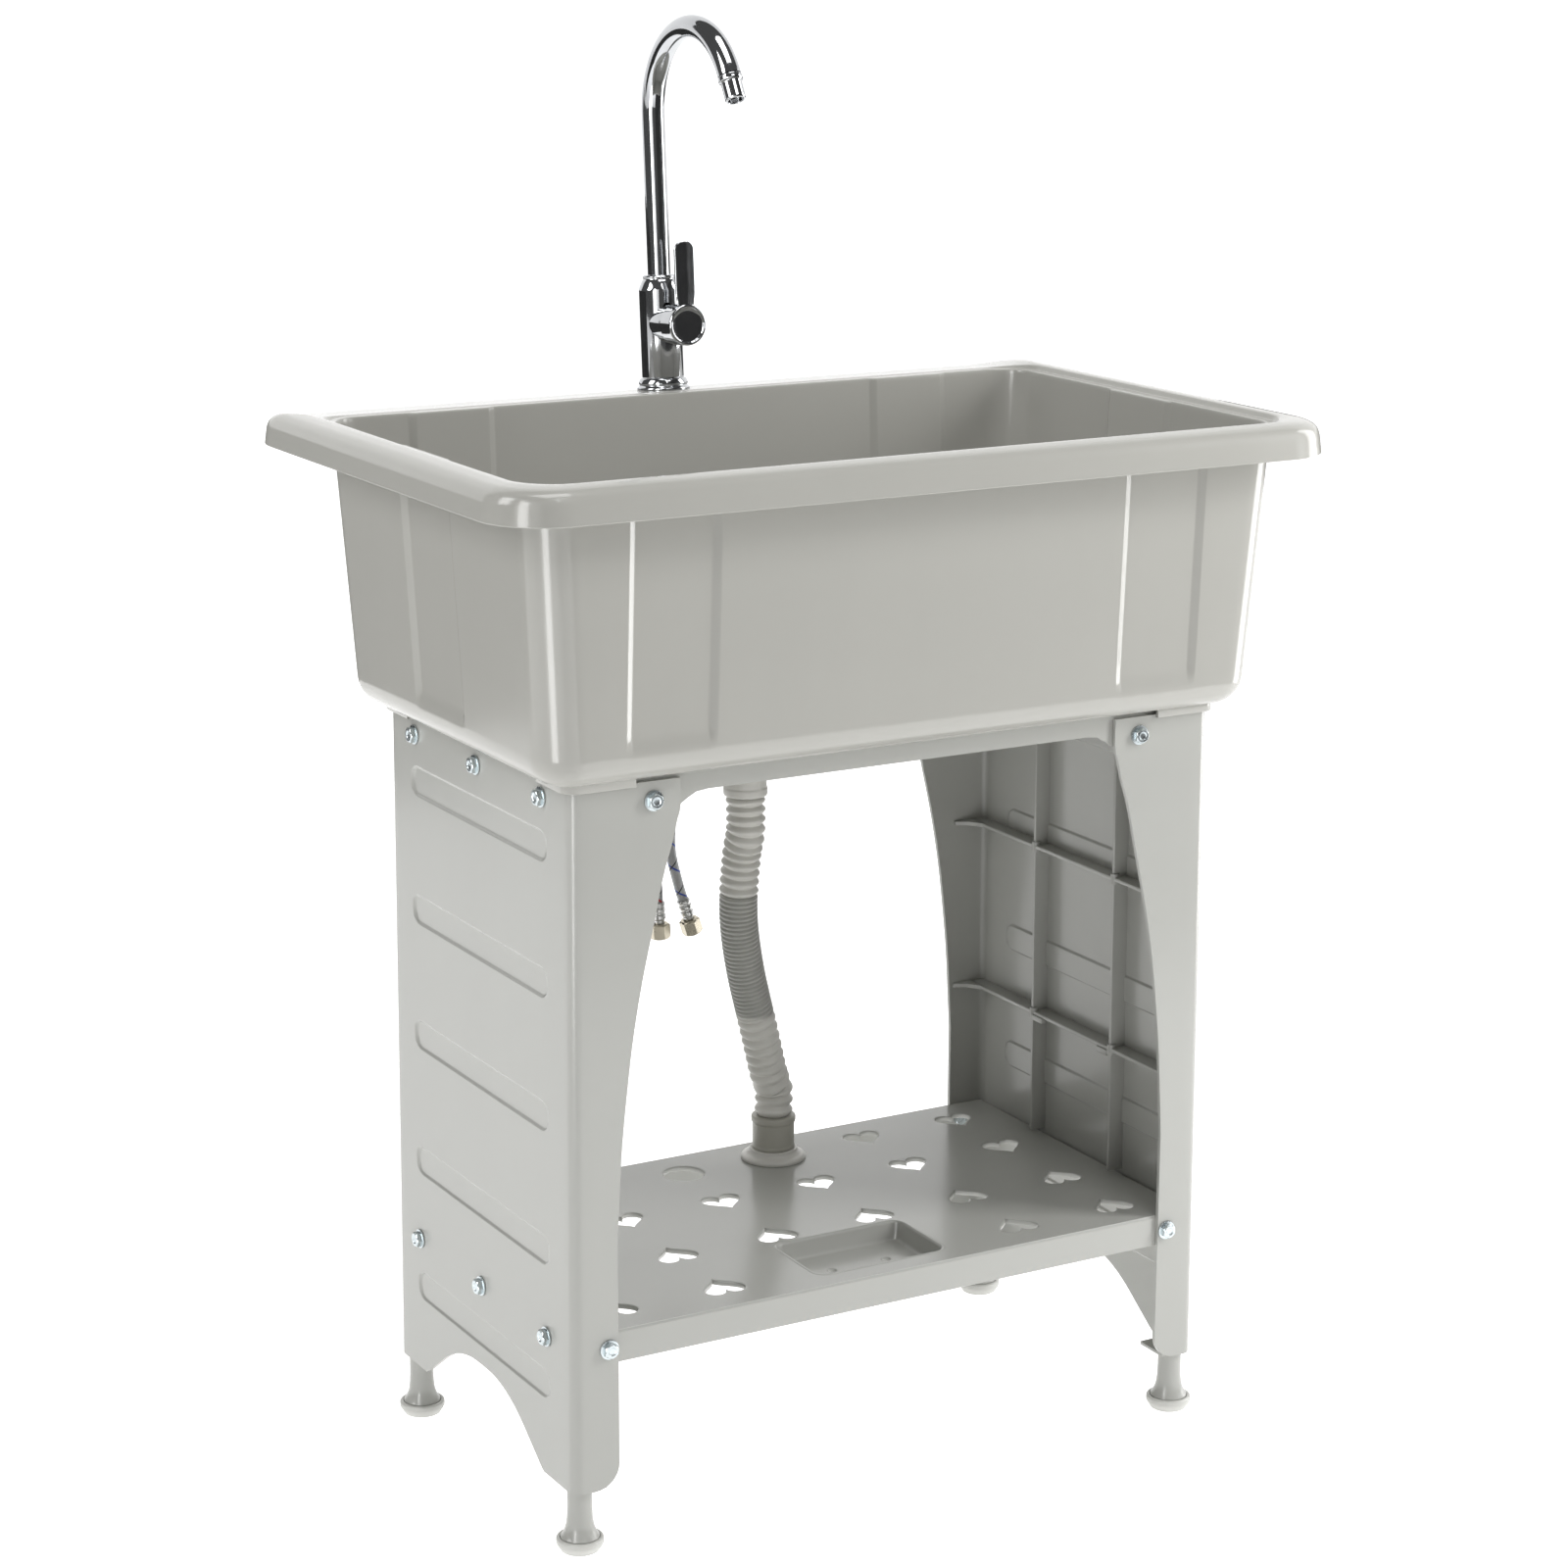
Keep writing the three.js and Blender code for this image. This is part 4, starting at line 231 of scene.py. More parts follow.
def pointed(grid, place, direction):
    # stands a grid drawn along +Z at a place, turned to a direction
    d = Vector(direction).normalized()
    m = np.array(Vector((0, 0, 1)).rotation_difference(d).to_matrix())
    return grid @ m.T + np.asarray(place, float)


def makePiece(name, grids, material, body, stands=(), sharp=32.0, bevel=0.0):
    # joins grids into one mesh: the seam's double points are merged and every closed part faces outwards
    points, quads, uvs, start = [], [], [], 0
    for grid in grids:
        rows, cols = grid.shape[:2]
        index = np.arange(rows * cols).reshape(rows, cols) + start
        quad = np.stack([index[:-1, :-1], index[:-1, 1:], index[1:, 1:], index[1:, :-1]], axis=-1)
        far = np.concatenate([[0], np.cumsum(np.linalg.norm(np.diff(grid, axis=0), axis=2).mean(axis=1))])
        u, v = np.meshgrid(np.linspace(0, 1, cols), far * mm)
        points.append(grid.reshape(-1, 3))
        uvs.append(np.stack([u, v], axis=2).reshape(-1, 2))
        quads.append(quad.reshape(-1, 4))
        start += rows * cols
    points, quads, uvs = np.vstack(points) * mm, np.vstack(quads), np.vstack(uvs)
    mesh = bpy.data.meshes.new(name)
    mesh.vertices.add(len(points))
    mesh.vertices.foreach_set("co", points.ravel())
    mesh.loops.add(quads.size)
    mesh.loops.foreach_set("vertex_index", quads.ravel())
    mesh.polygons.add(len(quads))
    mesh.polygons.foreach_set("loop_start", np.arange(len(quads)) * 4)
    mesh.update(calc_edges=True)
    layer = mesh.uv_layers.new(name="along")
    layer.data.foreach_set("uv", uvs[quads.ravel()].ravel())
    work = bmesh.new()
    work.from_mesh(mesh)
    bmesh.ops.remove_doubles(work, verts=work.verts, dist=4e-6)
    bmesh.ops.recalc_face_normals(work, faces=work.faces)
    work.to_mesh(mesh)
    work.free()
    mesh.shade_smooth()
    mesh.set_sharp_from_angle(angle=math.radians(sharp))
    piece = bpy.data.objects.new(name, mesh)
    bpy.context.scene.collection.objects.link(piece)
    piece.data.materials.append(material)
    if bevel > 0:
        edge = piece.modifiers.new("softEdge", "BEVEL")
        edge.width = bevel * mm
        edge.segments = 2
        edge.limit_method = "ANGLE"
        edge.angle_limit = math.radians(40)
        edge.harden_normals = False
    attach(piece, body)
    if stands:
        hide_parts(*stands)
    return piece


# ---------- finishes ----------
def newFinish(name):
    finish = bpy.data.materials.new(name)
    finish.use_nodes = True
    tree = finish.node_tree
    return finish, tree, tree.nodes["Principled BSDF"]


def addNode(tree, kind, **values):
    node = tree.nodes.new(kind)
    for key, value in values.items():
        if key in node.inputs.keys():
            node.inputs[key].default_value = value
        else:
            setattr(node, key, value)
    return node


def noiseOf(tree, where, scale, detail=3.0, rough=0.5):
    node = addNode(tree, "ShaderNodeTexNoise", Scale=scale, Detail=detail, Roughness=rough)
    tree.links.new(where, node.inputs["Vector"])
    return node.outputs["Fac"]


def ramped(tree, value, low, high, fromLow=0.3, fromHigh=0.7):
    node = addNode(tree, "ShaderNodeMapRange")
    for key, number in zip(("From Min", "From Max", "To Min", "To Max"), (fromLow, fromHigh, low, high)):
        node.inputs[key].default_value = number
    tree.links.new(value, node.inputs["Value"])
    return node.outputs["Result"]


def mixedColour(tree, factor, first, second):
    node = addNode(tree, "ShaderNodeMix", data_type="RGBA")
    tree.links.new(factor, node.inputs[0])
    for socket, colour in ((6, first), (7, second)):
        if hasattr(colour, "is_output"):
            tree.links.new(colour, node.inputs[socket])
        else:
            node.inputs[socket].default_value = (*colour, 1)
    return node.outputs[2]


def mathNode(tree, kind, a, b=None):
    node = addNode(tree, "ShaderNodeMath", operation=kind)
    for socket, value in enumerate((a, b)):
        if hasattr(value, "is_output"):
            tree.links.new(value, node.inputs[socket])
        elif value is not None:
            node.inputs[socket].default_value = value
    return node.outputs[0]


def bumped(tree, shader, heights):
    # stacks height patterns, each with its strength and its depth in metres
    normal = None
    for height, strength, depth in heights:
        node = addNode(tree, "ShaderNodeBump", Strength=strength, Distance=depth)
        tree.links.new(height, node.inputs["Height"])
        if normal:
            tree.links.new(normal, node.inputs["Normal"])
        normal = node.outputs["Normal"]
    tree.links.new(normal, shader.inputs["Normal"])


def mouldedPlastic(name, colour, rough, shine=0.5, streaks=0.012, waves=0.12, grain=0.03):
    # injection moulded polypropylene: a slow colour drift, faint flow streaks, a slightly wavy skin
    finish, tree, shader = newFinish(name)
    here = addNode(tree, "ShaderNodeTexCoord").outputs["Object"]
    stretch = addNode(tree, "ShaderNodeMapping")
    stretch.inputs["Scale"].default_value = (9, 9, 1.6)
    tree.links.new(here, stretch.inputs["Vector"])
    drift = noiseOf(tree, here, 3.2, 1)
    flow = noiseOf(tree, stretch.outputs["Vector"], 2.4, 2, 0.5)
    darker = tuple(c * (1 - streaks * 1.6) for c in colour)
    lighter = tuple(min(1, c * (1 + streaks)) for c in colour)
    base = mixedColour(tree, ramped(tree, drift, 0, 1), darker, lighter)
    veined = mixedColour(tree, ramped(tree, flow, 0, 0.6, 0.35, 0.75), base,
                         tuple(c * (1 - streaks * 2) for c in colour))
    tree.links.new(veined, shader.inputs["Base Color"])
    wear = noiseOf(tree, here, 24, 3, 0.55)
    tree.links.new(ramped(tree, wear, rough * 0.93, rough * 1.12), shader.inputs["Roughness"])
    shader.inputs["IOR"].default_value = 1.49
    shader.inputs["Specular IOR Level"].default_value = shine
    bumped(tree, shader, [
        (noiseOf(tree, here, 9, 2, 0.4), waves, 0.0016),
        (noiseOf(tree, here, 900, 3, 0.6), grain, 0.0002),
    ])
    return finish


def polishedMetal(name, colour, rough, brushed=0.0, tint=0.04):
    # bright metal with faint smears in its polish; brushed draws fine lines round the Z axis
    finish, tree, shader = newFinish(name)
    here = addNode(tree, "ShaderNodeTexCoord").outputs["Object"]
    shader.inputs["Metallic"].default_value = 1.0
    smear = noiseOf(tree, here, 60, 5, 0.6)
    tone = mixedColour(tree, ramped(tree, smear, 0, 1), tuple(c * (1 - tint) for c in colour), colour)
    tree.links.new(tone, shader.inputs["Base Color"])
    tree.links.new(ramped(tree, smear, rough * 0.7, rough * 1.5), shader.inputs["Roughness"])
    heights = [(noiseOf(tree, here, 420, 3, 0.6), 0.04, 0.0001)]
    if brushed > 0:
        lines = addNode(tree, "ShaderNodeMapping")
        lines.inputs["Scale"].default_value = (1, 1, 40)
        tree.links.new(here, lines.inputs["Vector"])
        heights.append((noiseOf(tree, lines.outputs["Vector"], 90, 4, 0.7), brushed, 0.0002))
    bumped(tree, shader, heights)
    return finish


def blackRubber(name):
    finish, tree, shader = newFinish(name)
    here = addNode(tree, "ShaderNodeTexCoord").outputs["Object"]
    dust = noiseOf(tree, here, 120, 5, 0.7)
    tree.links.new(mixedColour(tree, ramped(tree, dust, 0, 1), (0.018, 0.018, 0.018),
                               (0.045, 0.045, 0.043)), shader.inputs["Base Color"])
    tree.links.new(ramped(tree, dust, 0.7, 0.9), shader.inputs["Roughness"])
    bumped(tree, shader, [(noiseOf(tree, here, 700, 3), 0.2, 0.0002)])
    return finish


def wovenBraid(name, marker):
    # a braid of flat wires: two sets wind round the hose against each other, one coloured thread each way;
    # each of the wires darkens from its crown to its edges and crossings, a painted shade between them
    strands, turnsPerMetre = 10.0, 46.0
    finish, tree, shader = newFinish(name)
    uv = addNode(tree, "ShaderNodeUVMap", uv_map="along").outputs["UV"]
    split = addNode(tree, "ShaderNodeSeparateXYZ")
    tree.links.new(uv, split.inputs[0])

    def step(*values):
        return mathNode(tree, *values)

    around, along = split.outputs[0], step("MULTIPLY", split.outputs[1], turnsPerMetre)
    leftTurn, rightTurn = step("ADD", around, along), step("SUBTRACT", around, along)
    left = step("SINE", step("MULTIPLY", leftTurn, strands * 2 * math.pi))
    right = step("SINE", step("MULTIPLY", rightTurn, strands * 2 * math.pi))
    leftBand = step("ABSOLUTE", left)
    rightBand = step("ABSOLUTE", right)
    over = step("GREATER_THAN", step("MULTIPLY", left, right), 0.0)
    leftOver = step("MULTIPLY", leftBand, over)
    rightOver = step("MULTIPLY", rightBand, step("SUBTRACT", 1.0, over))
    height = step("ADD", leftOver, rightOver)
    # painted shade: the wires' colour runs from near black at their edges and crossings to bright metal on
    # their crowns
    wireAndPaintedShade = mixedColour(tree, height, (0.10, 0.10, 0.10), (0.62, 0.63, 0.64))
    thread = step("LESS_THAN", step("FRACT", step("ADD", leftTurn, 0.3)), 0.085)
    otherThread = step("LESS_THAN", step("FRACT", rightTurn), 0.06)
    coloured = mixedColour(tree, thread, wireAndPaintedShade, marker)
    tree.links.new(mixedColour(tree, otherThread, coloured, (0.05, 0.05, 0.055)),
                   shader.inputs["Base Color"])
    tree.links.new(step("SUBTRACT", 0.85, step("MULTIPLY", thread, 0.8)), shader.inputs["Metallic"])
    tree.links.new(ramped(tree, height, 0.5, 0.28, 0, 1), shader.inputs["Roughness"])
    bumped(tree, shader, [(height, 0.6, 0.0004)])
    return finish


# a shaded copy of the stand's plastic: its grey is set a few percent darker, a painted shade that dims the
# bowl's walls beside the panels
bowlPlasticPaintedDarker = mouldedPlastic("bowlPlasticPaintedDarker", (0.40, 0.396, 0.368), 0.14, waves=0.08, grain=0.006)
standPlastic = mouldedPlastic("standPlastic", (0.412, 0.414, 0.39), 0.2, shine=0.44, streaks=0.01,
                              waves=0.1, grain=0.008)
hosePlastic = mouldedPlastic("hosePlastic", (0.70, 0.69, 0.65), 0.34, streaks=0.015, waves=0.1, grain=0.03)
cuffPlastic = mouldedPlastic("cuffPlastic", (0.46, 0.45, 0.40), 0.36, streaks=0.015, waves=0.1, grain=0.03)
cupPlastic = mouldedPlastic("cupPlastic", (0.56, 0.56, 0.53), 0.42, streaks=0.02, grain=0.12)
fittingPlastic = mouldedPlastic("fittingPlastic", (0.66, 0.66, 0.64), 0.36, streaks=0.015, grain=0.06)
tapChrome = polishedMetal("tapChrome", (0.55, 0.56, 0.575), 0.055)
boltZinc = polishedMetal("boltZinc", (0.62, 0.68, 0.70), 0.26, tint=0.18)
drainSteel = polishedMetal("drainSteel", (0.62, 0.62, 0.61), 0.24, brushed=0.12, tint=0.1)
nutBrass = polishedMetal("nutBrass", (0.60, 0.55, 0.44), 0.27, tint=0.2)
gasketRubber = blackRubber("gasketRubber")
hotBraid = wovenBraid("hotBraid", (0.45, 0.03, 0.03))
coldBraid = wovenBraid("coldBraid", (0.04, 0.08, 0.42))
print("finishes made")

# ---------- supply hoses: free cords that hang from the tap down behind the stand ----------
supply = {
    "radius": 4.0,
    "segments": 32,
    "hot": [(-5.2, 188.244, 691.118), (-5.6, 185.8, 668), (-13, 185, 600), (-15, 186, 500), (-13, 186, 420),
            (-11.6, 186, 372), (-10.2, 186, 347)],
    "cold": [(5.2, 188.244, 691.118), (5.8, 185.8, 668), (15, 185, 600), (12, 187, 500), (3, 186, 425),
             (1, 186, 388), (6.6, 186, 362), (11.5, 186, 346)],
    "ferruleRadius": 5.2,
    "ferruleLength": 17.0,
    "nutRadius": 8.3,
    "nutLength": 12.0,
    "gap": 0.3,
}


def makeSupply(side, braid):
    # a round tube along the hanging line, then a crimped ferrule and a hexagon nut at the line's end
    path = pathThrough(supply[side], 160)
    end = path[-1]
    tube = capped(alongPath(path, supply["radius"], (0, 1, 0), supply["segments"]))
    hose = makePiece("supplyHose_" + side, [tube], braid, "sink", ["supply_hose_" + side],
                     sharp=60)
    down = end - path[-2]
    down /= np.linalg.norm(down)
    length, r = supply["ferruleLength"], supply["ferruleRadius"]
    crimp = rounded([(0, 0), (r - 0.5, 0), (r, 0.8), (r, 2.4), (r - 0.5, 3.2), (r - 0.5, 4.4), (r, 5.2),
                     (r, 7.4), (r - 0.5, 8.2), (r - 0.5, 9.4), (r, 10.2), (r, length - 3.6),
                     (r - 1, length - 2.6), (r - 1, length + 7.2), (0, length + 7.2)], 0.3, 2)
    crimp = pointed(turned(crimp, 40), end + down * supply["gap"], down)
    ferrule = makePiece("supplyFerrule_" + side, [crimp], drainSteel, "sink", ["supply_ferrule_" + side])
    n, reach = supply["nutRadius"], supply["nutLength"]
    start = length + 2 * supply["gap"]
    profile = rounded([(r - 0.7, 0), (n - 1.9, 0), (n, 1.3), (n, reach - 1.0), (n - 1.3, reach),
                       (n - 2.0, reach), (n - 2.2, reach - 0.6), (n - 2.2, reach * 0.6 + 0.6),
                       (r - 0.7, reach * 0.6 - 1), (r - 0.7, 0)], 0.15, 2)
    hexagon = pointed(moved(hexTurned(profile, n), (0, 0, start)), end, down)
    nut = makePiece("supplyNut_" + side, [hexagon], nutBrass, side + "_nut", ["supply_nut_" + side])


makeSupply("hot", hotBraid)
makeSupply("cold", coldBraid)
print("supply hoses made")

# ---------- the bowl ----------
bowl = {
    "halfX": 288.7, "front": -187.7, "back": 155.1, "corner": 26.0,
    "taperX": 12.0, "taperY": 10.0,
    "rimX": 323.0, "rimY": 220.0, "rimCorner": 46.0, "flare": 2.5,
    "top": 750.0, "ledge": 745.7, "shoulder": 743.0, "deckBack": 742.3, "deckShoulder": 738.3, "lip": 726.0,
    "bottom": 545.0, "floor": 548.5, "floorFall": 1.5, "outerBend": 19.0, "innerBend": 16.0, "wall": 3.0,
    "fluteFrom": 160.0, "fluteTo": 222.0, "fluteRamp": 6.6, "fluteDepth": 3.0, "sideFlute": 37.0,
    "fluteFade": 14.0,
    "middleY": -16.3, "drainY": 65.0, "drainHole": 22.8, "drainSeat": 36.6, "drainBoss": 44.0,
    "bossDrop": 4.0,
}


def bowlLine(halfX, front, back, corner, z, backZ=None, flute=0.0):
    # one level line of the bowl: straight sides with shallow flutes and quarter-circle corners; the back
    # may lie at its own height, which the back corners ease into
    b = bowl
    backZ = z if backZ is None else backZ
    half = b["fluteRamp"] / 2
    dense = np.linspace(-half - 0.6, half + 0.6, 15)
    between = np.linspace(b["fluteFrom"] + 8, b["fluteTo"] - 8, 7)
    flank = np.concatenate([b["fluteFrom"] + dense, between, b["fluteTo"] + dense])
    xs = np.concatenate([-flank[::-1], np.linspace(-150, 150, 15), flank])

    def ramp(distance):
        # straight in its middle, with its two ends bent over a fifth of its width
        t, e = np.clip((distance + half) / (2 * half), 0, 1), 0.2
        middle = (t - e / 2) / (1 - e)
        return np.where(t < e, t * t / (2 * e * (1 - e)),
                        np.where(t > 1 - e, 1 - (1 - t) ** 2 / (2 * e * (1 - e)), middle))

    dip = flute * ramp(np.abs(xs) - b["fluteFrom"]) * ramp(b["fluteTo"] - np.abs(xs))
    ys = np.concatenate([-b["sideFlute"] + dense, np.linspace(-29, 29, 7), b["sideFlute"] + dense])
    sideDip = flute * ramp(b["sideFlute"] - np.abs(ys))
    ys = ys + b["middleY"]
    t = np.linspace(0, 1, 15)
    a = t * math.pi / 2
    ease = smoothStep(t)

    def arc(cx, cy, start, level):
        return np.stack([cx + corner * np.cos(start + a), cy + corner * np.sin(start + a), level + 0 * a],
                        axis=1)

    def flat(x, y, level):
        return np.stack([x + 0 * y, y + 0 * x, level + 0 * (x + y)], axis=1)

    right, rear = halfX - corner, back - corner
    parts = [
        flat(xs, front + dip, z), arc(right, front + corner, -math.pi / 2, z),
        flat(halfX - sideDip, ys, z), arc(right, rear, 0, z + (backZ - z) * ease),
        flat(-xs, back - dip, backZ), arc(-right, rear, math.pi / 2, backZ + (z - backZ) * ease),
        flat(-halfX + sideDip, 2 * b["middleY"] - ys, z), arc(-right, front + corner, math.pi, z),
    ]
    line = np.vstack(parts)
    return np.vstack([line, line[:1]])


def wallLine(z, out, flute, inset=0.0):
    # the wall narrows evenly from the ledge to the bottom
    b = bowl
    t = (b["ledge"] - z) / (b["ledge"] - b["bottom"])
    return bowlLine(b["halfX"] + out - b["taperX"] * t - inset, b["front"] - out + b["taperY"] * t + inset,
                    b["back"] + out - b["taperY"] * t - inset, max(b["corner"] + out - inset, 4), z, None,
                    flute)


def rimLine(x, front, back, corner, z, backZ, flute=0.0):
    b = bowl
    return bowlLine(b["halfX"] + x, b["front"] - front, b["back"] + back, corner, z, backZ, flute)


def circleLine(line, radius, z):
    # the same number of points on a circle round the drain, each at its own bearing
    bearing = np.arctan2(line[:, 1] - bowl["drainY"], line[:, 0])
    return np.stack([radius * np.cos(bearing), bowl["drainY"] + radius * np.sin(bearing), z + 0 * bearing],
                    axis=1)


def makeBowl():
    # a loft that closes on itself: underside, outer wall, lip, rim, inner wall, floor and drain hole
    b = bowl
    sideOut = b["rimX"] - b["flare"] - b["halfX"]
    frontOut = b["rimY"] - b["flare"] + b["front"]
    backOut = b["rimY"] - b["flare"] - b["back"]
    cornerOut = b["rimCorner"] - b["flare"]
    w, deep = b["wall"], b["fluteDepth"]
    ledge, deck = b["ledge"], b["deckBack"]
    fall = math.tan(math.atan2(3.4, backOut - 9 - 6))
    under = wallLine(b["bottom"], w, 0, 30)
    inner = wallLine(b["floor"], 0, 0, 30)
    rings = [
        (circleLine(under, b["drainHole"], b["bottom"] - b["bossDrop"]), 0.6),
        (circleLine(under, b["drainBoss"], b["bottom"] - b["bossDrop"]), 0.8),
        (circleLine(under, b["drainBoss"] + 1.5, b["bottom"]), 1.0),
        (under, 0),
        (wallLine(b["bottom"], w, 0, b["outerBend"] * 0.98), 0),
    ]
    for k in (15, 30, 45, 60, 75, 90):
        a = math.radians(k)
        rings.append((wallLine(b["bottom"] + b["outerBend"] * (1 - math.cos(a)), w, 0,
                               b["outerBend"] * (1 - math.sin(a))), 0))
    for k in (0.15, 0.35, 0.55, 0.75, 1.0):
        rings.append((wallLine(b["bottom"] + b["outerBend"] + b["fluteFade"] * k, w,
                               deep * float(smoothStep(k))), 0))
    outerTop = ledge - w
    for k in (0.25, 0.5, 0.75, 0.93):
        z = b["bottom"] + b["outerBend"] + b["fluteFade"]
        rings.append((wallLine(z + (outerTop - z) * k, w, deep), 0))
    rings += [
        (rimLine(w, w, w, b["corner"] + w, outerTop, outerTop, deep), 2.0),
        (rimLine(sideOut - w, frontOut - w, backOut - 9, cornerOut - w, b["shoulder"] - w, deck - w), 3.0),
        (rimLine(sideOut - w, frontOut - w, backOut - w, cornerOut - w, b["shoulder"] - w - 3,
                 b["deckShoulder"] - w - 1), 2.0),
        (rimLine(sideOut - 0.5, frontOut - 0.5, backOut - 0.5, b["rimCorner"] - w, b["lip"], b["lip"]),
         0.7),
        (rimLine(sideOut + 2.5, frontOut + 2.5, backOut + 2.5, b["rimCorner"], b["lip"], b["lip"]), 0.9),
        (rimLine(sideOut + 0.5, frontOut + 0.5, backOut + 0.5, cornerOut, b["shoulder"] - 3,
                 b["deckShoulder"] - 3), 2.5),
        (rimLine(sideOut * 0.94, frontOut * 0.94, backOut - 3, cornerOut - 2, b["shoulder"] + 2.2,
                 b["deckShoulder"] + 2.2), 2.5),
        (rimLine(sideOut * 0.75, frontOut * 0.75, backOut - 9, cornerOut - 7, b["top"] - 1.4, deck), 5.0),
        (rimLine(sideOut * 0.42, frontOut * 0.42, backOut * 0.45, 32, b["top"],
                 ledge - (backOut * 0.45 - 6) * fall), 5.0),
        (rimLine(8.6, 8.6, 8.6, b["corner"] + 8.6, b["top"] - 0.7, ledge + 0.25), 1.2),
        (rimLine(6.6, 6.6, 6.6, b["corner"] + 6.6, ledge + 0.1, ledge - 0.4), 1.0),
        (rimLine(5.2, 5.2, 5.2, b["corner"] + 5.2, ledge, ledge - 0.2), 0.8),
        (rimLine(0.3, 0.3, 0.3, b["corner"] + 0.3, ledge, ledge, deep), 1.3),
        (wallLine(ledge - 3, 0, deep), 1.0),
    ]
    z0 = b["bottom"] + b["outerBend"] + b["fluteFade"]
    for k in (0.9, 0.7, 0.5, 0.3, 0.1):
        rings.append((wallLine(z0 + (ledge - 3 - z0) * k, 0, deep), 0))
    for k in (1.0, 0.75, 0.55, 0.35, 0.15):
        rings.append((wallLine(b["floor"] + b["innerBend"] + b["fluteFade"] * k, 0,
                               deep * float(smoothStep(k))), 0))
    for k in (90, 75, 60, 45, 30, 15):
        a = math.radians(k)
        rings.append((wallLine(b["floor"] + b["innerBend"] * (1 - math.cos(a)), 0, 0,
                               b["innerBend"] * (1 - math.sin(a))), 0))
    seatZ = b["floor"] - b["floorFall"] - 2.2
    rings += [
        (inner, 0),
        (circleLine(inner, b["drainSeat"] + 5, b["floor"] - b["floorFall"]), 2.0),
        (circleLine(inner, b["drainSeat"] + 1.2, seatZ + 0.2), 0.8),
        (circleLine(inner, b["drainSeat"], seatZ), 0.3),
        (circleLine(inner, b["drainHole"], seatZ), 0.3),
        (circleLine(inner, b["drainHole"], seatZ - 1.5), 0),
    ]
    grid = roundedLoft([r for r, _ in rings], [s for _, s in rings])
    shell = np.concatenate([grid, grid[:1]])
    lips = []
    for sx in (-1, 1):
        for sy in (-1, 1):
            lips.append(locatingLip(sx, sy))
    return makePiece("bowlShell", [shell] + lips, bowlPlasticPaintedDarker, "sink", ["basin"], sharp=48)


lipOf = {"x": 256.4, "y": 146.3, "corner": 8.3, "thick": 2.7, "frontFrom": 208.0, "sideFrom": 104.0,
         "drop": 6.0, "middleY": -14.0}


def locatingLip(sx, sy):
    # a thin upstand under the bowl, round each corner of the stand: a flat strip carried along an L
    d = lipOf
    a = np.linspace(math.pi / 2, 0, 9)
    cx, cy, r = d["x"] - d["corner"], d["y"] - d["corner"], d["corner"]
    line = np.vstack([[d["frontFrom"], d["y"]], np.stack([cx + r * np.cos(a), cy + r * np.sin(a)], axis=1),
                      [d["x"], d["sideFrom"]]])
    out = np.vstack([[0, 1], np.stack([np.cos(a), np.sin(a)], axis=1), [1, 0]])
    low, high = bowl["bottom"] - d["drop"], bowl["bottom"] + 1
    section = [(0, low + 0.4), (0.4, low), (d["thick"] - 0.4, low), (d["thick"], low + 0.4),
               (d["thick"], high), (0, high), (0, low + 0.4)]
    rows = np.stack([atHeight(line + out * s, z) for s, z in section], axis=1)
    rows[..., 0] *= sx
    rows[..., 1] = rows[..., 1] * sy + d["middleY"]
    return capped(rows)


makeBowl()
print("bowl made")

# ---------- side panels ----------
panel = {
    "top": 541.0, "bottom": 46.0, "depth": 146.0, "width": 256.05, "lean": 0.00707, "corner": 8.0,
    "wall": 3.0, "middleY": -14.0,
    "edge": [(226, 223), (252, 221.4), (290, 219), (328, 215), (366, 210), (404, 203), (441, 194.5),
             (478, 186), (497, 180),
             (513, 176), (520, 173.8), (541, 173.6)],
    "footBend": 18.0,
    "arch": [(0, 88), (20, 87), (36, 83.5), (50, 78), (64, 70), (76, 61.5), (88, 53), (98, 46)],
    "archBlend": 99.0,
    "capsules": [112.5, 210.0, 306.0, 400.0, 494.5], "capsuleReach": 99.0, "capsuleRadius": 11.0,
    "capsuleDepth": 1.5,
    "ribLevels": [259.5, 393.0], "ribOffsets": [-53.0, 53.0], "ribIn": 240.0, "ribOut": 253.5,
    "ribThick": 3.0, "ribFoot": 162.5, "ribTop": 508.0, "bossSide": 9.0, "postOut": 253.8,
    "postX": 247.0, "postY": 132.3,
}


def sideX(z):
    return panel["width"] + ((panel["top"] + panel["bottom"]) / 2 - z) * panel["lean"]


def flangeEdge(z):
    # where the flange's free edge lies at each height, with a round inner corner at its foot
    z = np.asarray(z, float)
    rows = np.array(panel["edge"])
    x = smoothThrough(rows[:, 0], rows[:, 1], np.clip(z, rows[0, 0], rows[-1, 0]))
    last, r = rows[0, 1], panel["footBend"]
    h = np.clip((panel["bottom"] + r - z) / r, 0, 1)
    return np.where(z < rows[0, 0], last, x) + np.where(z < panel["bottom"] + r,
                                                        r * (1 - np.sqrt(np.maximum(1 - h * h, 0))), 0)


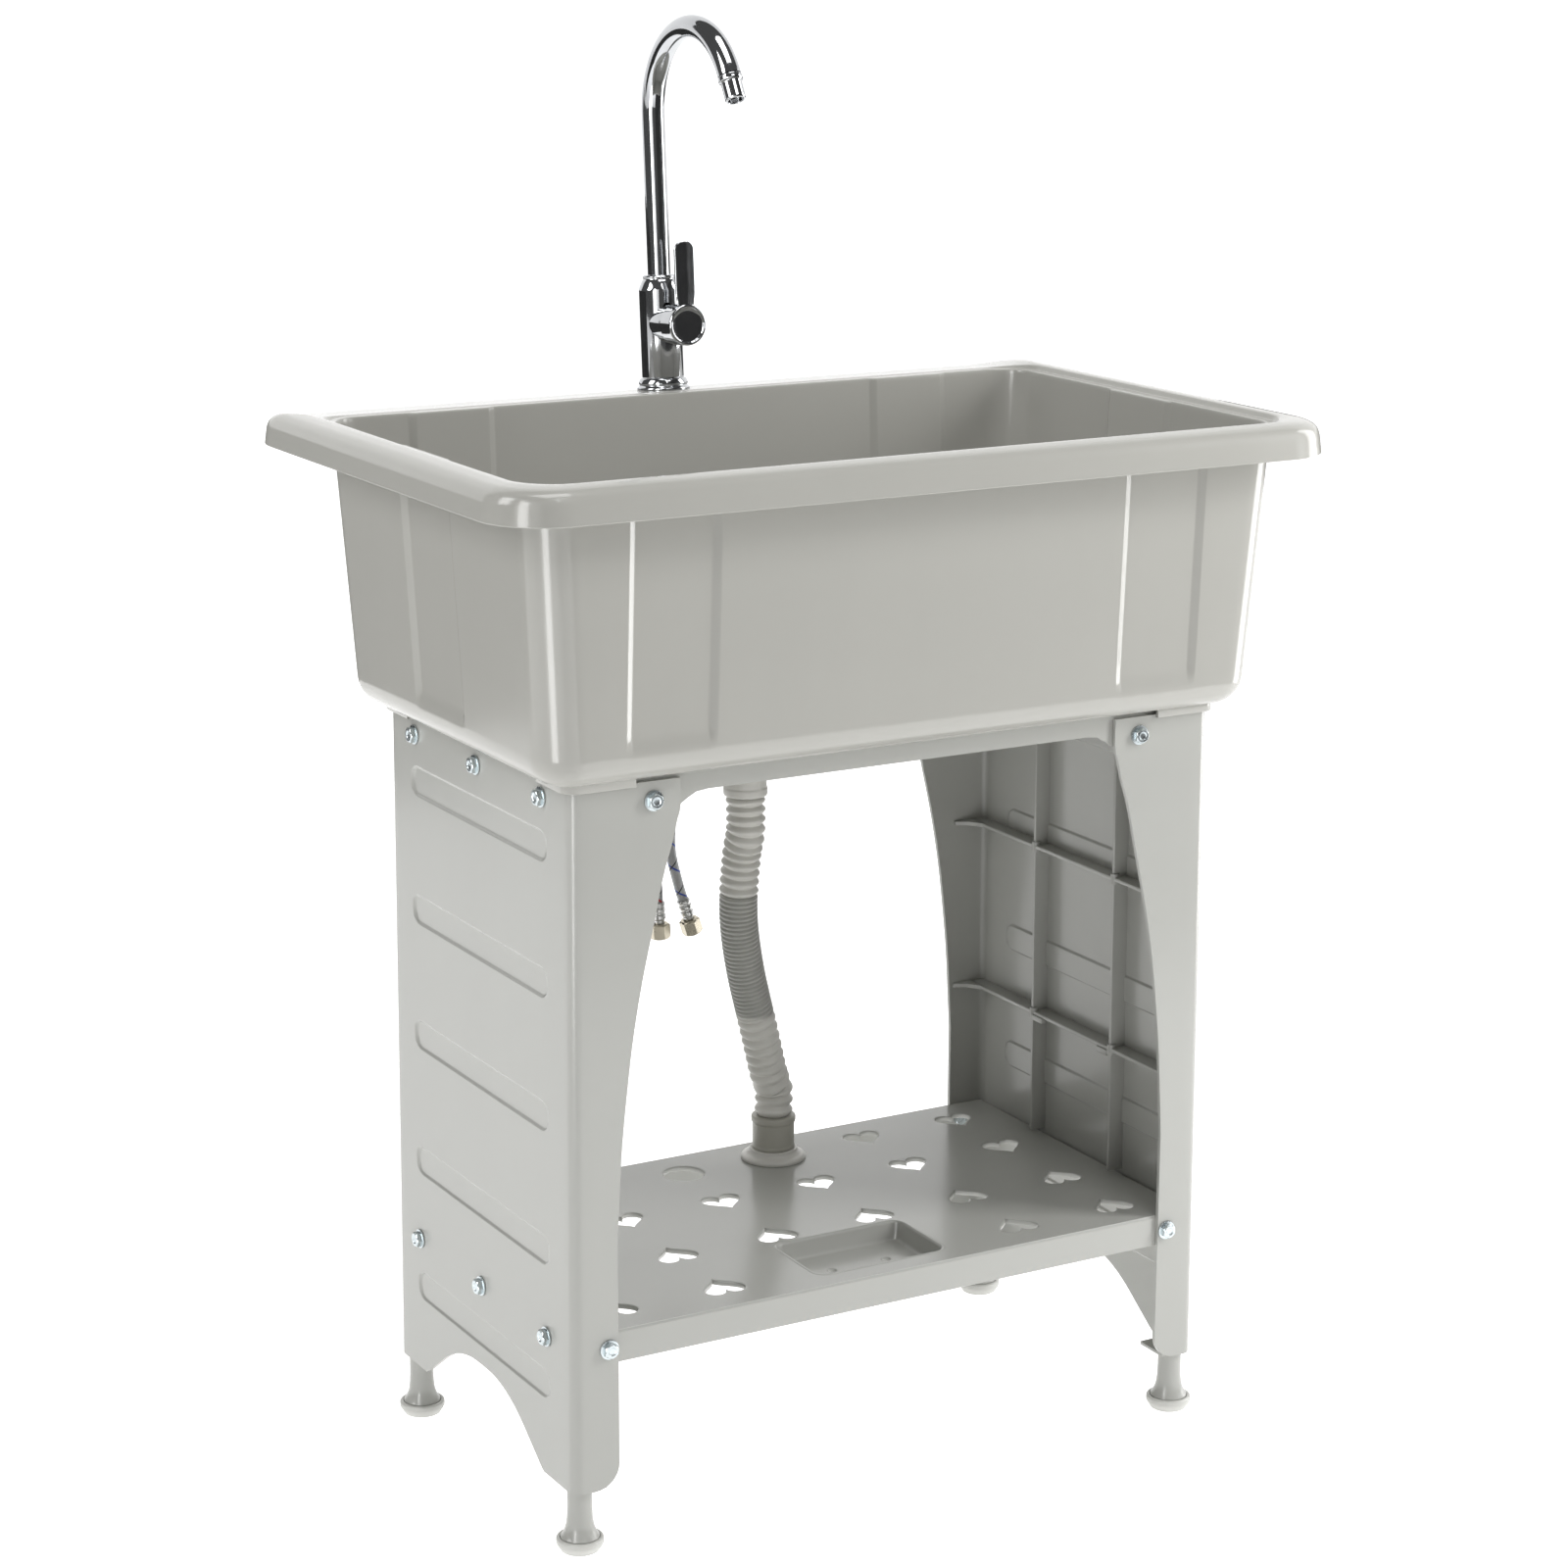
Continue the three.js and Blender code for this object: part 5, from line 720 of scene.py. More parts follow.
def panelSkin(inset):
    # a U in plan, from one flange's edge round both corners to the other; the rows go up the panel
    p = panel
    ends = np.concatenate([np.arange(99, 111.2, 0.8), [112.5]])
    ys = np.concatenate([-np.linspace(137.5, 114, 5), -ends[::-1], np.linspace(-98, -1, 30)])
    ys = np.concatenate([ys, [0], -ys[::-1]])
    near = np.concatenate([np.arange(-12, -7.6, 0.45), np.linspace(-7, 7, 5), np.arange(7.6, 12.1, 0.45)])
    foot = p["bottom"] + p["footBend"] * (1 - np.cos(np.linspace(0, math.pi / 2, 9)))
    levels = p["capsules"]
    zs = [foot, np.linspace(68, 97, 6)] + [level + near for level in levels]
    zs += [np.linspace(a + 14, b - 14, 8) for a, b in zip(levels[:-1], levels[1:])]
    zs.append([509, 513, 518, 524, 530, 536, 541])
    zs = np.unique(np.round(np.concatenate(zs), 3))
    z = zs[:, None]
    x = sideX(z) - inset
    y = p["depth"] - inset
    r = p["corner"] - inset
    a = np.linspace(0, math.pi / 2, 9)[None, :]
    edge = flangeEdge(z)
    t = np.linspace(0, 1, 13)[None, :] ** 1.5
    flangeX = edge + (x - r - edge) * t
    flange = np.stack([flangeX, 0 * flangeX - y, z + 0 * flangeX], axis=2)
    bend = np.stack([x - r + r * np.sin(a), 0 * x - (y - r) - r * np.cos(a), z + 0 * a], axis=2)
    yy = ys[None, :] * (y - r) / 137.5
    arch = np.array(p["arch"], float)
    under = np.where(np.abs(yy) < 98, smoothThrough(arch[:, 0], arch[:, 1], np.abs(yy)), p["bottom"])
    share = np.clip((z - p["bottom"]) / (p["archBlend"] - p["bottom"]), 0, 1)
    zz = np.where(z < p["archBlend"], under + (p["archBlend"] - under) * share, z + 0 * yy)
    out = np.zeros_like(zz)
    for level in p["capsules"]:
        away = np.hypot(np.maximum(np.abs(yy) - p["capsuleReach"], 0), zz - level) - p["capsuleRadius"]
        out = np.maximum(out, smoothStep(-away / 1.9))
    side = np.stack([sideX(zz) - inset - p["capsuleDepth"] * out, yy + 0 * zz, zz], axis=2)
    back = flange[:, ::-1] * [1, -1, 1]
    backBend = bend[:, ::-1] * [1, -1, 1]
    return np.concatenate([flange, bend[:, 1:], side[:, 1:-1], backBend, back[:, 1:]], axis=1)


def shellOf(outer, inner):
    # two skins joined round their edges into one closed wall
    loop = np.concatenate([outer, inner[::-1], outer[:1]])
    first = np.stack([outer[:, 0], inner[:, 0]], axis=1)
    last = np.stack([outer[:, -1], inner[:, -1]], axis=1)
    return [loop, first, last]


def footPost():
    # the moulded foot: a plain round post that flares like a trumpet into the cup
    return turned(rounded([(0, 3.5), (13.6, 3.5), (13.6, 10.1), (12.6, 11.3), (10.4, 15.4), (9.2, 21),
                           (8.7, 29.5), (8.7, 47), (0, 47)],
                          [0, 0.4, 0.5, 1.2, 3, 4, 5, 0, 0], 4), 56)


def makePanelPieces(side):
    p = panel
    sign = 1 if side == "right" else -1
    grids = shellOf(panelSkin(0), panelSkin(p["wall"]))
    innerY, half = p["depth"] - p["wall"], p["ribThick"] / 2
    ribIn, ribOut = p["ribIn"], p["ribOut"]

    def lean(grid):
        out = grid.copy()
        out[..., 0] += sideX(out[..., 2]) - p["width"]
        return out

    for level in p["ribLevels"]:
        low, high = level - half, level + half
        grids.append(lean(block((ribIn, -innerY - 1, low), (ribOut, innerY + 1, high), 0.7)))
        for s in (-1, 1):
            corner = np.array([(ribIn + 2, innerY - 20), (ribIn + 2, innerY + 1), (ribIn - 16, innerY + 1),
                               (ribIn - 16, innerY - 2.2), (ribIn - 7, innerY - 6.5),
                               (ribIn + 2, innerY - 20)])
            rows = [atHeight(corner * [1, s], z) for z in (low, high)]
            grids.append(lean(capped(np.stack(rows))))
    pin = turned([(0, -4), (3.4, -4), (3.4, 4), (0, 4)], 24)
    for offset in p["ribOffsets"]:
        low, high = (ribIn + 0.4, offset - half, p["ribFoot"]), (ribOut, offset + half, p["ribTop"])
        grids.append(lean(block(low, high, 0.7)))
        for level in p["ribLevels"]:
            grids.append(lean(moved(pin, (ribIn + 2.2, offset, level))))
    lower = min(p["ribLevels"])
    for offset in p["ribOffsets"]:
        y = offset - math.copysign(p["bossSide"], offset)
        grids.append(lean(block((ribIn - 1.4, y - 7, lower - 5.4), (ribIn + 3, y + 7, lower - 1.0), 0.8)))
    for s in (-1, 1):
        y0, y1 = sorted((s * (innerY + 1), s * (innerY - 27)))
        grids.append(block((p["postX"] - 15.6, y0, p["bottom"] + 0.1), (p["postOut"], y1, p["bottom"] + 3),
                           0.6))
        grids.append(moved(footPost(), (p["postX"], s * p["postY"], 0)))
    placed = [moved(g * [sign, 1, 1], (0, p["middleY"], 0)) for g in grids]
    return makePiece(side + "Panel", placed, standPlastic, "sink", [side + "_panel"],
                     sharp=40, bevel=0.55)


for side in ("right", "left"):
    makePanelPieces(side)
print("panels made")

# ---------- foot cups ----------
cup = {"base": 13.5, "radius": 16.6, "height": 9.5, "floor": 3.2, "bore": 13.9}


def makeCups():
    # soft cups: a shallow turned dish with a rolled rim and fine tread rings under it
    c = cup
    profile = rounded([(0, 0.6), (5, 0.6), (5.4, 0), (8.6, 0), (9, 0.6), (10.8, 0.6), (11.2, 0),
                       (c["base"], 0), (c["base"] + 0.9, 1.8), (c["radius"] - 0.9, 3.6), (c["radius"], 5.5),
                       (c["radius"], c["height"] - 1), (c["radius"] - 1, c["height"]),
                       (c["bore"], c["height"]), (c["bore"], c["floor"]), (0, c["floor"])], 0.6, 3)
    for end, sy in (("front", -1), ("back", 1)):
        for side, sx in (("left", -1), ("right", 1)):
            place = (sx * panel["postX"], panel["middleY"] + sy * panel["postY"], 0)
            makePiece(f"footCup_{end}_{side}", [moved(turned(profile, 56), place)], cupPlastic, "sink",
                      [f"foot_cup_{end}_{side}"])


makeCups()
print("foot cups made")

# ---------- bolts ----------
bolt = {
    "thread": 3.0, "head": 5.8, "headHeight": 4.0, "washer": 7.0, "washerThick": 1.1, "nut": 4.6,
    "grip": 6.9,
    "sideUpper": (-102.0, 0.0, 102.0), "sideLower": (-105.0, 0.0, 105.0), "upperZ": 527.8, "lowerZ": 148.3,
    "faceUpperX": 193.8, "faceLowerX": 230.2, "gap": 0.3,
}


def boltGrids():
    # drawn along +Z with the washer's face at 0: washer, hexagon head with a shallow dish, thread and nut
    b = bolt
    top = b["washerThick"] + b["headHeight"]
    washer = turned(rounded([(0, 0), (b["washer"], 0), (b["washer"], b["washerThick"]),
                             (0, b["washerThick"])], 0.25, 2), 40)
    head = hexTurned(rounded([(0, 0.5), (b["head"], 0.5), (b["head"], top - 0.9), (b["head"] - 1.2, top),
                              (3.0, top), (2.4, top - 0.7), (0, top - 0.7)], 0.2, 2), b["head"], 48)
    end = -b["grip"] - b["nut"]
    turns = np.linspace(0, 1, 23)
    ridge = np.where(np.arange(23) % 2 == 0, 0.0, -0.35)
    z = end + (0.5 - end) * turns
    thread = turned(np.vstack([[0, end], np.column_stack([b["thread"] + ridge, z]), [0, 0.5]]), 20)
    nut = hexTurned([(0, end + 0.2), (b["head"] - 0.9, end + 0.2), (b["head"], end + 0.9),
                     (b["head"], -b["grip"] - 0.7), (b["head"] - 0.9, -b["grip"]),
                     (0, -b["grip"])], b["head"], 48)
    return [washer, head, thread, nut]


def makeBolts():
    b = bolt
    drawn = boltGrids()
    midY = panel["middleY"]
    for side, sx in (("left", -1), ("right", 1)):
        for row, offsets, z in (("upper", b["sideUpper"], b["upperZ"]),
                                ("lower", b["sideLower"], b["lowerZ"])):
            for i, y in enumerate(offsets):
                place = (sx * (sideX(z) + b["gap"]), y + midY, z)
                makePiece(f"bolt_{side}_{row}_{i + 1}_dressed",
                          [pointed(g, place, (sx, 0, 0)) for g in drawn], boltZinc, "sink",
                          [f"bolt_{side}_{row}_{i + 1}"])
        for end, sy in (("front", -1), ("back", 1)):
            for row, x, z in (("upper", b["faceUpperX"], b["upperZ"]),
                              ("lower", b["faceLowerX"], b["lowerZ"])):
                place = (sx * x, midY + sy * (panel["depth"] + b["gap"]), z)
                makePiece(f"bolt_{end}_{side}_{row}_dressed",
                          [pointed(g, place, (0, sy, 0)) for g in drawn], boltZinc, "sink",
                          [f"bolt_{end}_{side}_{row}"])


makeBolts()
print("bolts made")

# ---------- shelf ----------
shelf = {
    "halfX": 252.0, "halfY": 142.7, "corner": 6.0, "top": 159.5, "thick": 3.5, "skirtBottom": 136.0,
    "skirt": 3.0,
    "heart": 15.0, "columns": (-207.0, -122.5, -41.0, 41.0, 122.5, 207.0),
    "rows": (-107.0, -37.5, 37.5, 107.0),
    "columnEdges": (-164.75, -81.75, 0.0, 81.75, 164.75), "rowEdges": (-54.0, 0.0, 72.0),
    "trayX": 52.0, "trayY": 33.0, "trayMiddle": -90.0, "traySink": 13.5, "trayCorner": 8.0,
    "trayTaper": 3.0, "trayHole": 3.0,
    "trayHoleX": 22.5,
    "hoseHole": 15.8, "hoseHoleX": 39.0, "hoseHoleY": 105.0, "ribs": (-165.0, -82.0, 82.0, 165.0),
    "ribDeep": 9.0,
}


def heartLine(size, count=360):
    # a heart with its point towards +Y: x goes as the cube of a sine, y as a sum of four cosines
    a = np.linspace(0, 2 * math.pi, count + 1)
    across = 16 * np.sin(a) ** 3
    along = 13 * np.cos(a) - 5 * np.cos(2 * a) - 2 * np.cos(3 * a) - np.cos(4 * a)
    return np.stack([abs(size) * across / 16, -size * (along + 2.5) / 16], axis=1)


def circleOf(radius, count=240):
    a = np.linspace(0, 2 * math.pi, count + 1)
    return np.stack([radius * np.sin(a), radius * np.cos(a)], axis=1)


def evenLine(line, count=400):
    # the same closed outline, cut into equal lengths
    far = np.concatenate([[0], np.cumsum(np.linalg.norm(np.diff(line, axis=0), axis=1))])
    at = np.linspace(0, far[-1], count + 1)
    return np.column_stack([np.interp(at, far, line[:, k]) for k in (0, 1)])


def boxLine(halfX, halfY, corner, steps=9):
    # a rectangle with quarter-circle corners
    a = np.linspace(0, math.pi / 2, steps)
    parts = []
    for k, (sx, sy) in enumerate(((1, 1), (-1, 1), (-1, -1), (1, -1))):
        turn = a + k * math.pi / 2
        parts.append(np.stack([sx * (halfX - corner) + corner * np.cos(turn),
                               sy * (halfY - corner) + corner * np.sin(turn)], axis=1))
    line = np.vstack(parts)
    return np.vstack([line, line[:1]])


def plateCell(line, centre, low, high, top=None):
    # one tile of the plate: a closed ring between its hole's outline and its border. Both are read along
    # the same bearings from the centre, and the four corners have bearings of their own
    s = shelf
    away = line[:-1] - centre
    bearing = np.arctan2(away[:, 1], away[:, 0])
    order = np.argsort(bearing)
    known, reach = bearing[order], np.hypot(away[:, 0], away[:, 1])[order]
    every = max(1, len(known) // 80)
    corners = np.array([(high[0], high[1]), (low[0], high[1]), (low[0], low[1]),
                        (high[0], low[1])]) - centre
    angles = np.sort(np.concatenate([known[::every], np.arctan2(corners[:, 1], corners[:, 0])]))
    radius = np.interp(angles, known, reach, period=2 * math.pi)
    ahead = np.stack([np.cos(angles), np.sin(angles)], axis=1)

    def borderAt(axis):
        # how far away the border square to one axis is, along each bearing
        to = ahead[:, axis]
        border = np.where(to > 0, high[axis] - centre[axis], low[axis] - centre[axis])
        return np.abs(border / np.where(np.abs(to) < 1e-9, 1e-9, to))

    far = np.minimum(borderAt(0), borderAt(1)) - 0.006
    top = s["top"] if top is None else top
    bottom = top - s["thick"]

    def level(distance, z):
        row = atHeight(centre + ahead * distance[:, None], z)
        return np.vstack([row, row[:1]])

    rows = [level(far, top), level(np.minimum(radius + 2.2, far), top),
            level(np.minimum(radius + 0.9, far), top), level(radius + 0.3, top - 0.22),
            level(radius, top - 0.7), level(radius, bottom + 0.3), level(radius + 0.3, bottom),
            level(far, bottom), level(far, top)]
    return np.stack(rows)


def makeShelf():
    s = shelf
    xs = [-s["halfX"] + 0.6, *s["columnEdges"], s["halfX"] - 0.6]
    ys = [-s["halfY"] + 0.6, *s["rowEdges"], s["halfY"] - 0.6]
    grids = []
    for row, y in enumerate(s["rows"]):
        for column, x in enumerate(s["columns"]):
            low, high = np.array([xs[column], ys[row]]), np.array([xs[column + 1], ys[row + 1]])
            middle = abs(x) < s["trayX"]
            if middle and row == 0:
                continue
            centre = np.array([x, y])
            line = heartLine(s["heart"] if y < 0 else -s["heart"]) + centre
            if middle and row == len(s["rows"]) - 1:
                centre = np.array([math.copysign(s["hoseHoleX"], x), s["hoseHoleY"]])
                line = circleOf(s["hoseHole"]) + centre
            grids.append(plateCell(line, centre, low, high))
    trayLow, trayHigh = np.array([xs[2], ys[0]]), np.array([xs[4], ys[1]])
    centre = np.array([0.0, s["trayMiddle"]])
    opening = evenLine(boxLine(s["trayX"] + 1.2, s["trayY"] + 1.2, s["trayCorner"] + 1.2, 25)) + centre
    grids.append(plateCell(opening, centre, trayLow, trayHigh))
    top, thick = s["top"], s["thick"]
    floor = top - s["traySink"]

    def ring(inset, z):
        return atHeight(boxLine(s["trayX"] - inset, s["trayY"] - inset, s["trayCorner"] - inset) + centre,
                        z)

    reachX, reachY = s["trayX"] - s["trayTaper"] - 3.5, s["trayY"] - s["trayTaper"] - 3.5
    flat = boxLine(reachX, reachY, 0.01) + centre
    tray = roundedLoft([atHeight(flat, floor), ring(s["trayTaper"], floor), ring(0, top - 1.2),
                        ring(-1.6, top + 0.35), ring(-3.6, top + 0.1), ring(-3.4, top - 1.2),
                        ring(-2.4, top - thick), ring(s["trayTaper"] - 3, floor - thick),
                        atHeight(flat, floor - thick)],
                       [0, 2.6, 1.0, 0.9, 0.4, 0, 0, 2.5, 0])
    grids.append(np.concatenate([tray, tray[:1]]))
    for x0, x1 in ((-reachX, 0), (0, reachX)):
        middle = centre + [math.copysign(s["trayHoleX"], x0 + x1), 0]
        low, high = centre + [x0, -reachY], centre + [x1, reachY]
        grids.append(plateCell(circleOf(s["trayHole"]) + middle, middle, low, high, floor))
    # the plate's border and skirt: one closed section carried round
    skirt, edge = s["skirt"], s["skirtBottom"]
    outer = [(2.6, top - 0.03), (0.9, top - 0.03), (0.0, top - 1.6), (0.0, edge + 0.5), (0.5, edge),
             (skirt - 0.4, edge), (skirt, edge + 0.5), (skirt, top - thick), (2.6, top - 0.03)]
    rings = []
    for inset, z in outer:
        rings.append(atHeight(boxLine(s["halfX"] - inset, s["halfY"] - inset,
                                      max(s["corner"] - inset, 1.5)), z))
    grids.append(roundedLoft(rings, [0, 0.8, 1.0, 0.4, 0.3, 0.3, 0.3, 0, 0]))
    under = top - thick
    low, high = under - s["ribDeep"], under + 0.8
    for x in s["ribs"]:
        grids.append(block((x - 1.5, -s["halfY"] + 1.5, low), (x + 1.5, s["halfY"] - 1.5, high), 0.5))
    grids.append(block((min(s["ribs"]), -1.5, low), (max(s["ribs"]), 1.5, high), 0.5))
    placed = [moved(g, (0, panel["middleY"], 0)) for g in grids]
    return makePiece("shelfTray", placed, standPlastic, "sink", ["shelf"], sharp=50)


makeShelf()
print("shelf made")

# ---------- drain ----------
drain = {
    "y": 65.0, "seat": 544.8, "neck": 22.3, "flange": 36.0, "flangeThick": 2.0, "cupDeep": 22.0,
    "cupWall": 1.5, "tail": 13.0, "tailBore": 11.4,
    "tailEnd": 492.0, "cone": 5.5, "basketLevel": 1.8, "boss": 541.0,
    "sleeve": 16.5, "sleeveBore": 13.4, "sleeveTop": 506.0, "sleeveEnd": 458.0,
    "hose": 14.8, "bore": 10.5,
    "line": [(0, 65, 457.7), (0, 65, 429.7), (-0.6, 69.4, 412), (-1, 73.9, 366), (5.8, 77.9, 325),
             (22.6, 83.7, 265), (34.8, 89, 225),
             (39, 91, 216.9), (39, 91, 194.9)],
    # runs of ribs: the share of the line where each ends, its ribs, the radius in its valleys
    "runs": ((0.29, 11, 12.2), (0.67, 30, 13.5), (1.0, 11, 12.2)),
    "exitX": 39.0, "exitY": 91.0, "cuff": 16.6, "cuffTop": 194.6, "cuffEnd": 168.5, "shelfFlange": 25.0,
    "spigot": 14.6, "spigotBore": 12.0, "spigotEnd": 128.0,
}


def drainPiece(name, grids, material, node, body="sink", sharp=32.0):
    # the drain's pieces are drawn round the Z axis and stand on the drain's own
    placed = [moved(grid, (0, drain["y"], 0)) for grid in grids]
    return makePiece(name, placed, material, body, [node], sharp)


def makeDrain():
    d = drain
    neck, tail, bore, low, flange = d["neck"], d["tail"], d["tailBore"], d["tailEnd"], d["flange"]
    seat = d["seat"] + 0.3
    rim = seat + d["flangeThick"]
    cupZ = d["seat"] - d["cupDeep"]
    cupUnder = cupZ - d["cupWall"]
    throat = neck - d["cupWall"]
    strainer = rounded([(bore, low), (tail, low), (tail, cupUnder), (neck, cupUnder), (neck, seat),
                        (flange, seat), (flange, rim - 0.7), (flange - 2.4, rim), (throat + d["cone"], rim),
                        (throat, rim - d["basketLevel"]), (throat, cupZ), (bore, cupZ), (bore, low)],
                       [0, 0.2, 0.6, 2.5, 0.3, 0.2, 0.5, 1.0, 0.7, 0.8, 2.0, 0.4, 0], 4)
    bars = [block((-bore - 1, -1, cupZ - 1.4), (bore + 1, 1, cupZ), 0.4),
            block((-1, -bore - 1, cupZ - 1.4), (1, bore + 1, cupZ), 0.4)]
    drainPiece("strainerBody", [turned(strainer, 72)] + bars, drainSteel, "drain_strainer",
               sharp=50)

    outer, bottom, lip = throat - 1, cupZ + 3, neck + 2

    def cone(r):
        return rim - d["basketLevel"] * (1 - (r - throat) / d["cone"]) + 0.4

    cup = rounded([(0, bottom), (outer - 3, bottom), (outer, bottom + 3), (outer, cone(outer)),
                   (lip, cone(lip)), (lip, rim + 0.4), (outer - 1, rim + 0.4), (outer - 1, bottom + 3.4),
                   (outer - 3.4, bottom + 1.2), (2.2, bottom + 1.2), (2.2, rim - 1), (5.5, rim + 1),
                   (5.5, rim + 3), (4, rim + 4.2),
                   (0, rim + 4.2)], [0, 1.5, 1.5, 0.6, 0.2, 0.2, 0.8, 1.4, 1.4, 0.8, 1.5, 0.8, 0.8, 1.2, 0],
                  4)
    drainPiece("strainerBasket", [turned(cup, 72)], makeBasketFinish(), "strainer_basket",
               "basket", 50)

    hole, boss = neck + 0.3, d["boss"]
    gasket = rounded([(hole, boss - 2.7), (31.8, boss - 2.7), (31.8, boss - 0.3), (hole, boss - 0.3),
                      (hole, boss - 2.7)], 0.4, 3)
    drainPiece("bowlGasket", [turned(gasket)], gasketRubber, "drain_gasket")
    high = boss - 3.0
    nutRing = rounded([(hole, high - 9), (30.8, high - 9), (30.8, high), (hole, high), (hole, high - 9)],
                      0.5, 3)
    lugs = []
    for i in range(6):
        a = i * math.pi / 3
        lug = block((29, -3, high - 8.8), (34.6, 3, high - 0.2), 0.8)
        turn = np.array([[math.cos(a), math.sin(a), 0], [-math.sin(a), math.cos(a), 0], [0, 0, 1]])
        lugs.append(lug @ turn)
    drainPiece("bowlLocknut", [turned(nutRing)] + lugs, fittingPlastic, "drain_locknut")
    top, hole = d["sleeveTop"], tail + 0.3
    slip = rounded([(hole, top + 0.3), (19.5, top + 0.3), (19.5, top + 7), (17.5, top + 10),
                    (hole, top + 10), (hole, top + 0.3)], 0.6, 3)
    grid = moved(turned(slip, 96), (0, d["y"], 0))
    a = np.linspace(0, 2 * math.pi, 97)
    flute = 1 - 0.02 * smoothStep(np.cos(a * 24))
    radial = np.hypot(grid[..., 0], grid[..., 1] - d["y"])
    k = np.where(radial > 17, flute[None, :], 1)
    grid[..., 0] *= k
    grid[..., 1] = (grid[..., 1] - d["y"]) * k + d["y"]
    makePiece("slipNut", [grid], fittingPlastic, "sink", ["drain_slip_nut"])
    s, e, bore = d["sleeve"], d["sleeveEnd"], d["sleeveBore"]
    sleeve = rounded([(bore, e), (s - 0.6, e), (s, e + 1.2), (s, e + 5.6), (s - 0.7, e + 6.6),
                      (s - 0.7, top), (bore, top), (bore, e)], 0.6, 3)
    drainPiece("hoseSleeve", [turned(sleeve)], hosePlastic, "drain_sleeve")


def makeBasketFinish():
    # pressed steel with drain holes drawn only in colour: a ring of small discs round the drain's axis is
    # painted near black, painted shade where the holes would look dark
    finish = drainSteel.copy()
    finish.name = "basketSteel"
    tree = finish.node_tree
    shader = tree.nodes["Principled BSDF"]
    here = addNode(tree, "ShaderNodeTexCoord").outputs["Object"]
    centred = addNode(tree, "ShaderNodeMapping")
    centred.inputs["Location"].default_value = (0, -drain["y"] * mm, 0)
    tree.links.new(here, centred.inputs["Vector"])
    split = addNode(tree, "ShaderNodeSeparateXYZ")
    tree.links.new(centred.outputs["Vector"], split.inputs[0])

    def step(*values):
        return mathNode(tree, *values)

    x, y = split.outputs[0], split.outputs[1]
    bearing = step("DIVIDE", step("ARCTAN2", y, x), math.pi / 3)
    part = step("ABSOLUTE", step("SUBTRACT", step("FRACT", step("ADD", bearing, 0.5)), 0.5))
    distance = step("SQRT", step("ADD", step("MULTIPLY", x, x), step("MULTIPLY", y, y)))
    sideways = step("MULTIPLY", step("MULTIPLY", part, math.pi / 3), distance)
    inward = step("SUBTRACT", distance, 0.0104)
    radius = step("SQRT", step("ADD", step("MULTIPLY", sideways, sideways),
                               step("MULTIPLY", inward, inward)))
    # painted shade: the discs are coloured near black instead of being cut through
    hole = step("LESS_THAN", radius, 0.0024)
    old = shader.inputs["Base Color"].links[0].from_socket
    tree.links.new(mixedColour(tree, hole, old, (0.012, 0.012, 0.012)), shader.inputs["Base Color"])
    return finish


def makeDrainHose():
    # ribs are rounded waves of the radius along the bent line; the middle run is pushed together
    d = drain
    count = 1400
    path = pathThrough(d["line"], count)
    t = np.linspace(0, 1, count)
    radius = np.zeros(count)
    start = 0.0
    for end, ribs, valley in d["runs"]:
        inside = (t >= start - 1e-9) & (t <= end + 1e-9)
        phase = (t[inside] - start) / (end - start) * ribs
        wave = 0.5 - 0.5 * np.cos(2 * math.pi * phase)
        crest = wave ** (0.62 if ribs < 20 else 0.8)
        radius[inside] = valley + (d["hose"] - (0.25 if ribs > 20 else 0) - valley) * crest
        start = end
    outer = alongPath(path, radius, (0, 1, 0), 48)
    inner = alongPath(path[::20], d["bore"], (0, 1, 0), 48)[::-1]
    grid = np.concatenate([outer, inner, outer[:1]])
    makePiece("drainHose", [grid], makeHoseFinish(), "sink", ["drain_hose"], sharp=70)


def makeHoseFinish():
    # the pushed-together run of the hose is painted a darker grey: painted shade of its packed folds, which
    # its shallow ribs don't cast themselves
    finish = hosePlastic.copy()
    finish.name = "corrugatedPlastic"
    tree = finish.node_tree
    shader = tree.nodes["Principled BSDF"]
    split = addNode(tree, "ShaderNodeSeparateXYZ")
    tree.links.new(addNode(tree, "ShaderNodeTexCoord").outputs["Object"], split.inputs[0])
    above = ramped(tree, split.outputs[2], 0, 1, 0.279, 0.283)
    below = ramped(tree, split.outputs[2], 1, 0, 0.378, 0.382)
    both = addNode(tree, "ShaderNodeMath", operation="MULTIPLY")
    tree.links.new(above, both.inputs[0])
    tree.links.new(below, both.inputs[1])
    old = shader.inputs["Base Color"].links[0].from_socket
    # painted shade: the packed run's folds darkened in its colour
    tree.links.new(mixedColour(tree, both.outputs[0], old, (0.40, 0.40, 0.375)),
                   shader.inputs["Base Color"])
    return finish


def makeHoseEnd():
    d = drain
    place = (d["exitX"], d["exitY"], 0)
    top, end, c = d["cuffTop"], d["cuffEnd"], d["cuff"]
    cuffLine = rounded([(11.5, end), (c, end), (c, end + 2), (c - 0.5, end + 3), (c - 0.5, top - 6),
                        (c + 0.5, top - 4.6), (c + 0.5, top - 1), (c - 0.4, top), (11.5, top), (11.5, end)],
                       0.7, 3)
    makePiece("hoseCuff", [moved(turned(cuffLine), place)], cuffPlastic, "sink", ["hose_cuff"])
    f, seat = d["shelfFlange"], shelf["top"] + 0.3
    bore, low, spigot = d["spigotBore"], d["spigotEnd"], d["spigot"]
    flange = rounded([(bore, low), (spigot, low), (spigot, seat), (f, seat), (f, seat + 1.9),
                      (f - 1.8, seat + 3.4), (c + 4.2, seat + 4.2), (c + 2, end - 2.2),
                      (c + 1.6, end - 0.3), (bore, end - 0.3),
                      (bore, low)], [0, 0.4, 0.4, 0.3, 0.8, 1.6, 2.4, 1.2, 0.5, 0.3, 0], 4)
    makePiece("shelfSpigot", [moved(turned(flange), place)], hosePlastic, "sink", ["shelf_flange"])


makeDrain()
makeDrainHose()
makeHoseEnd()
print("drain made")

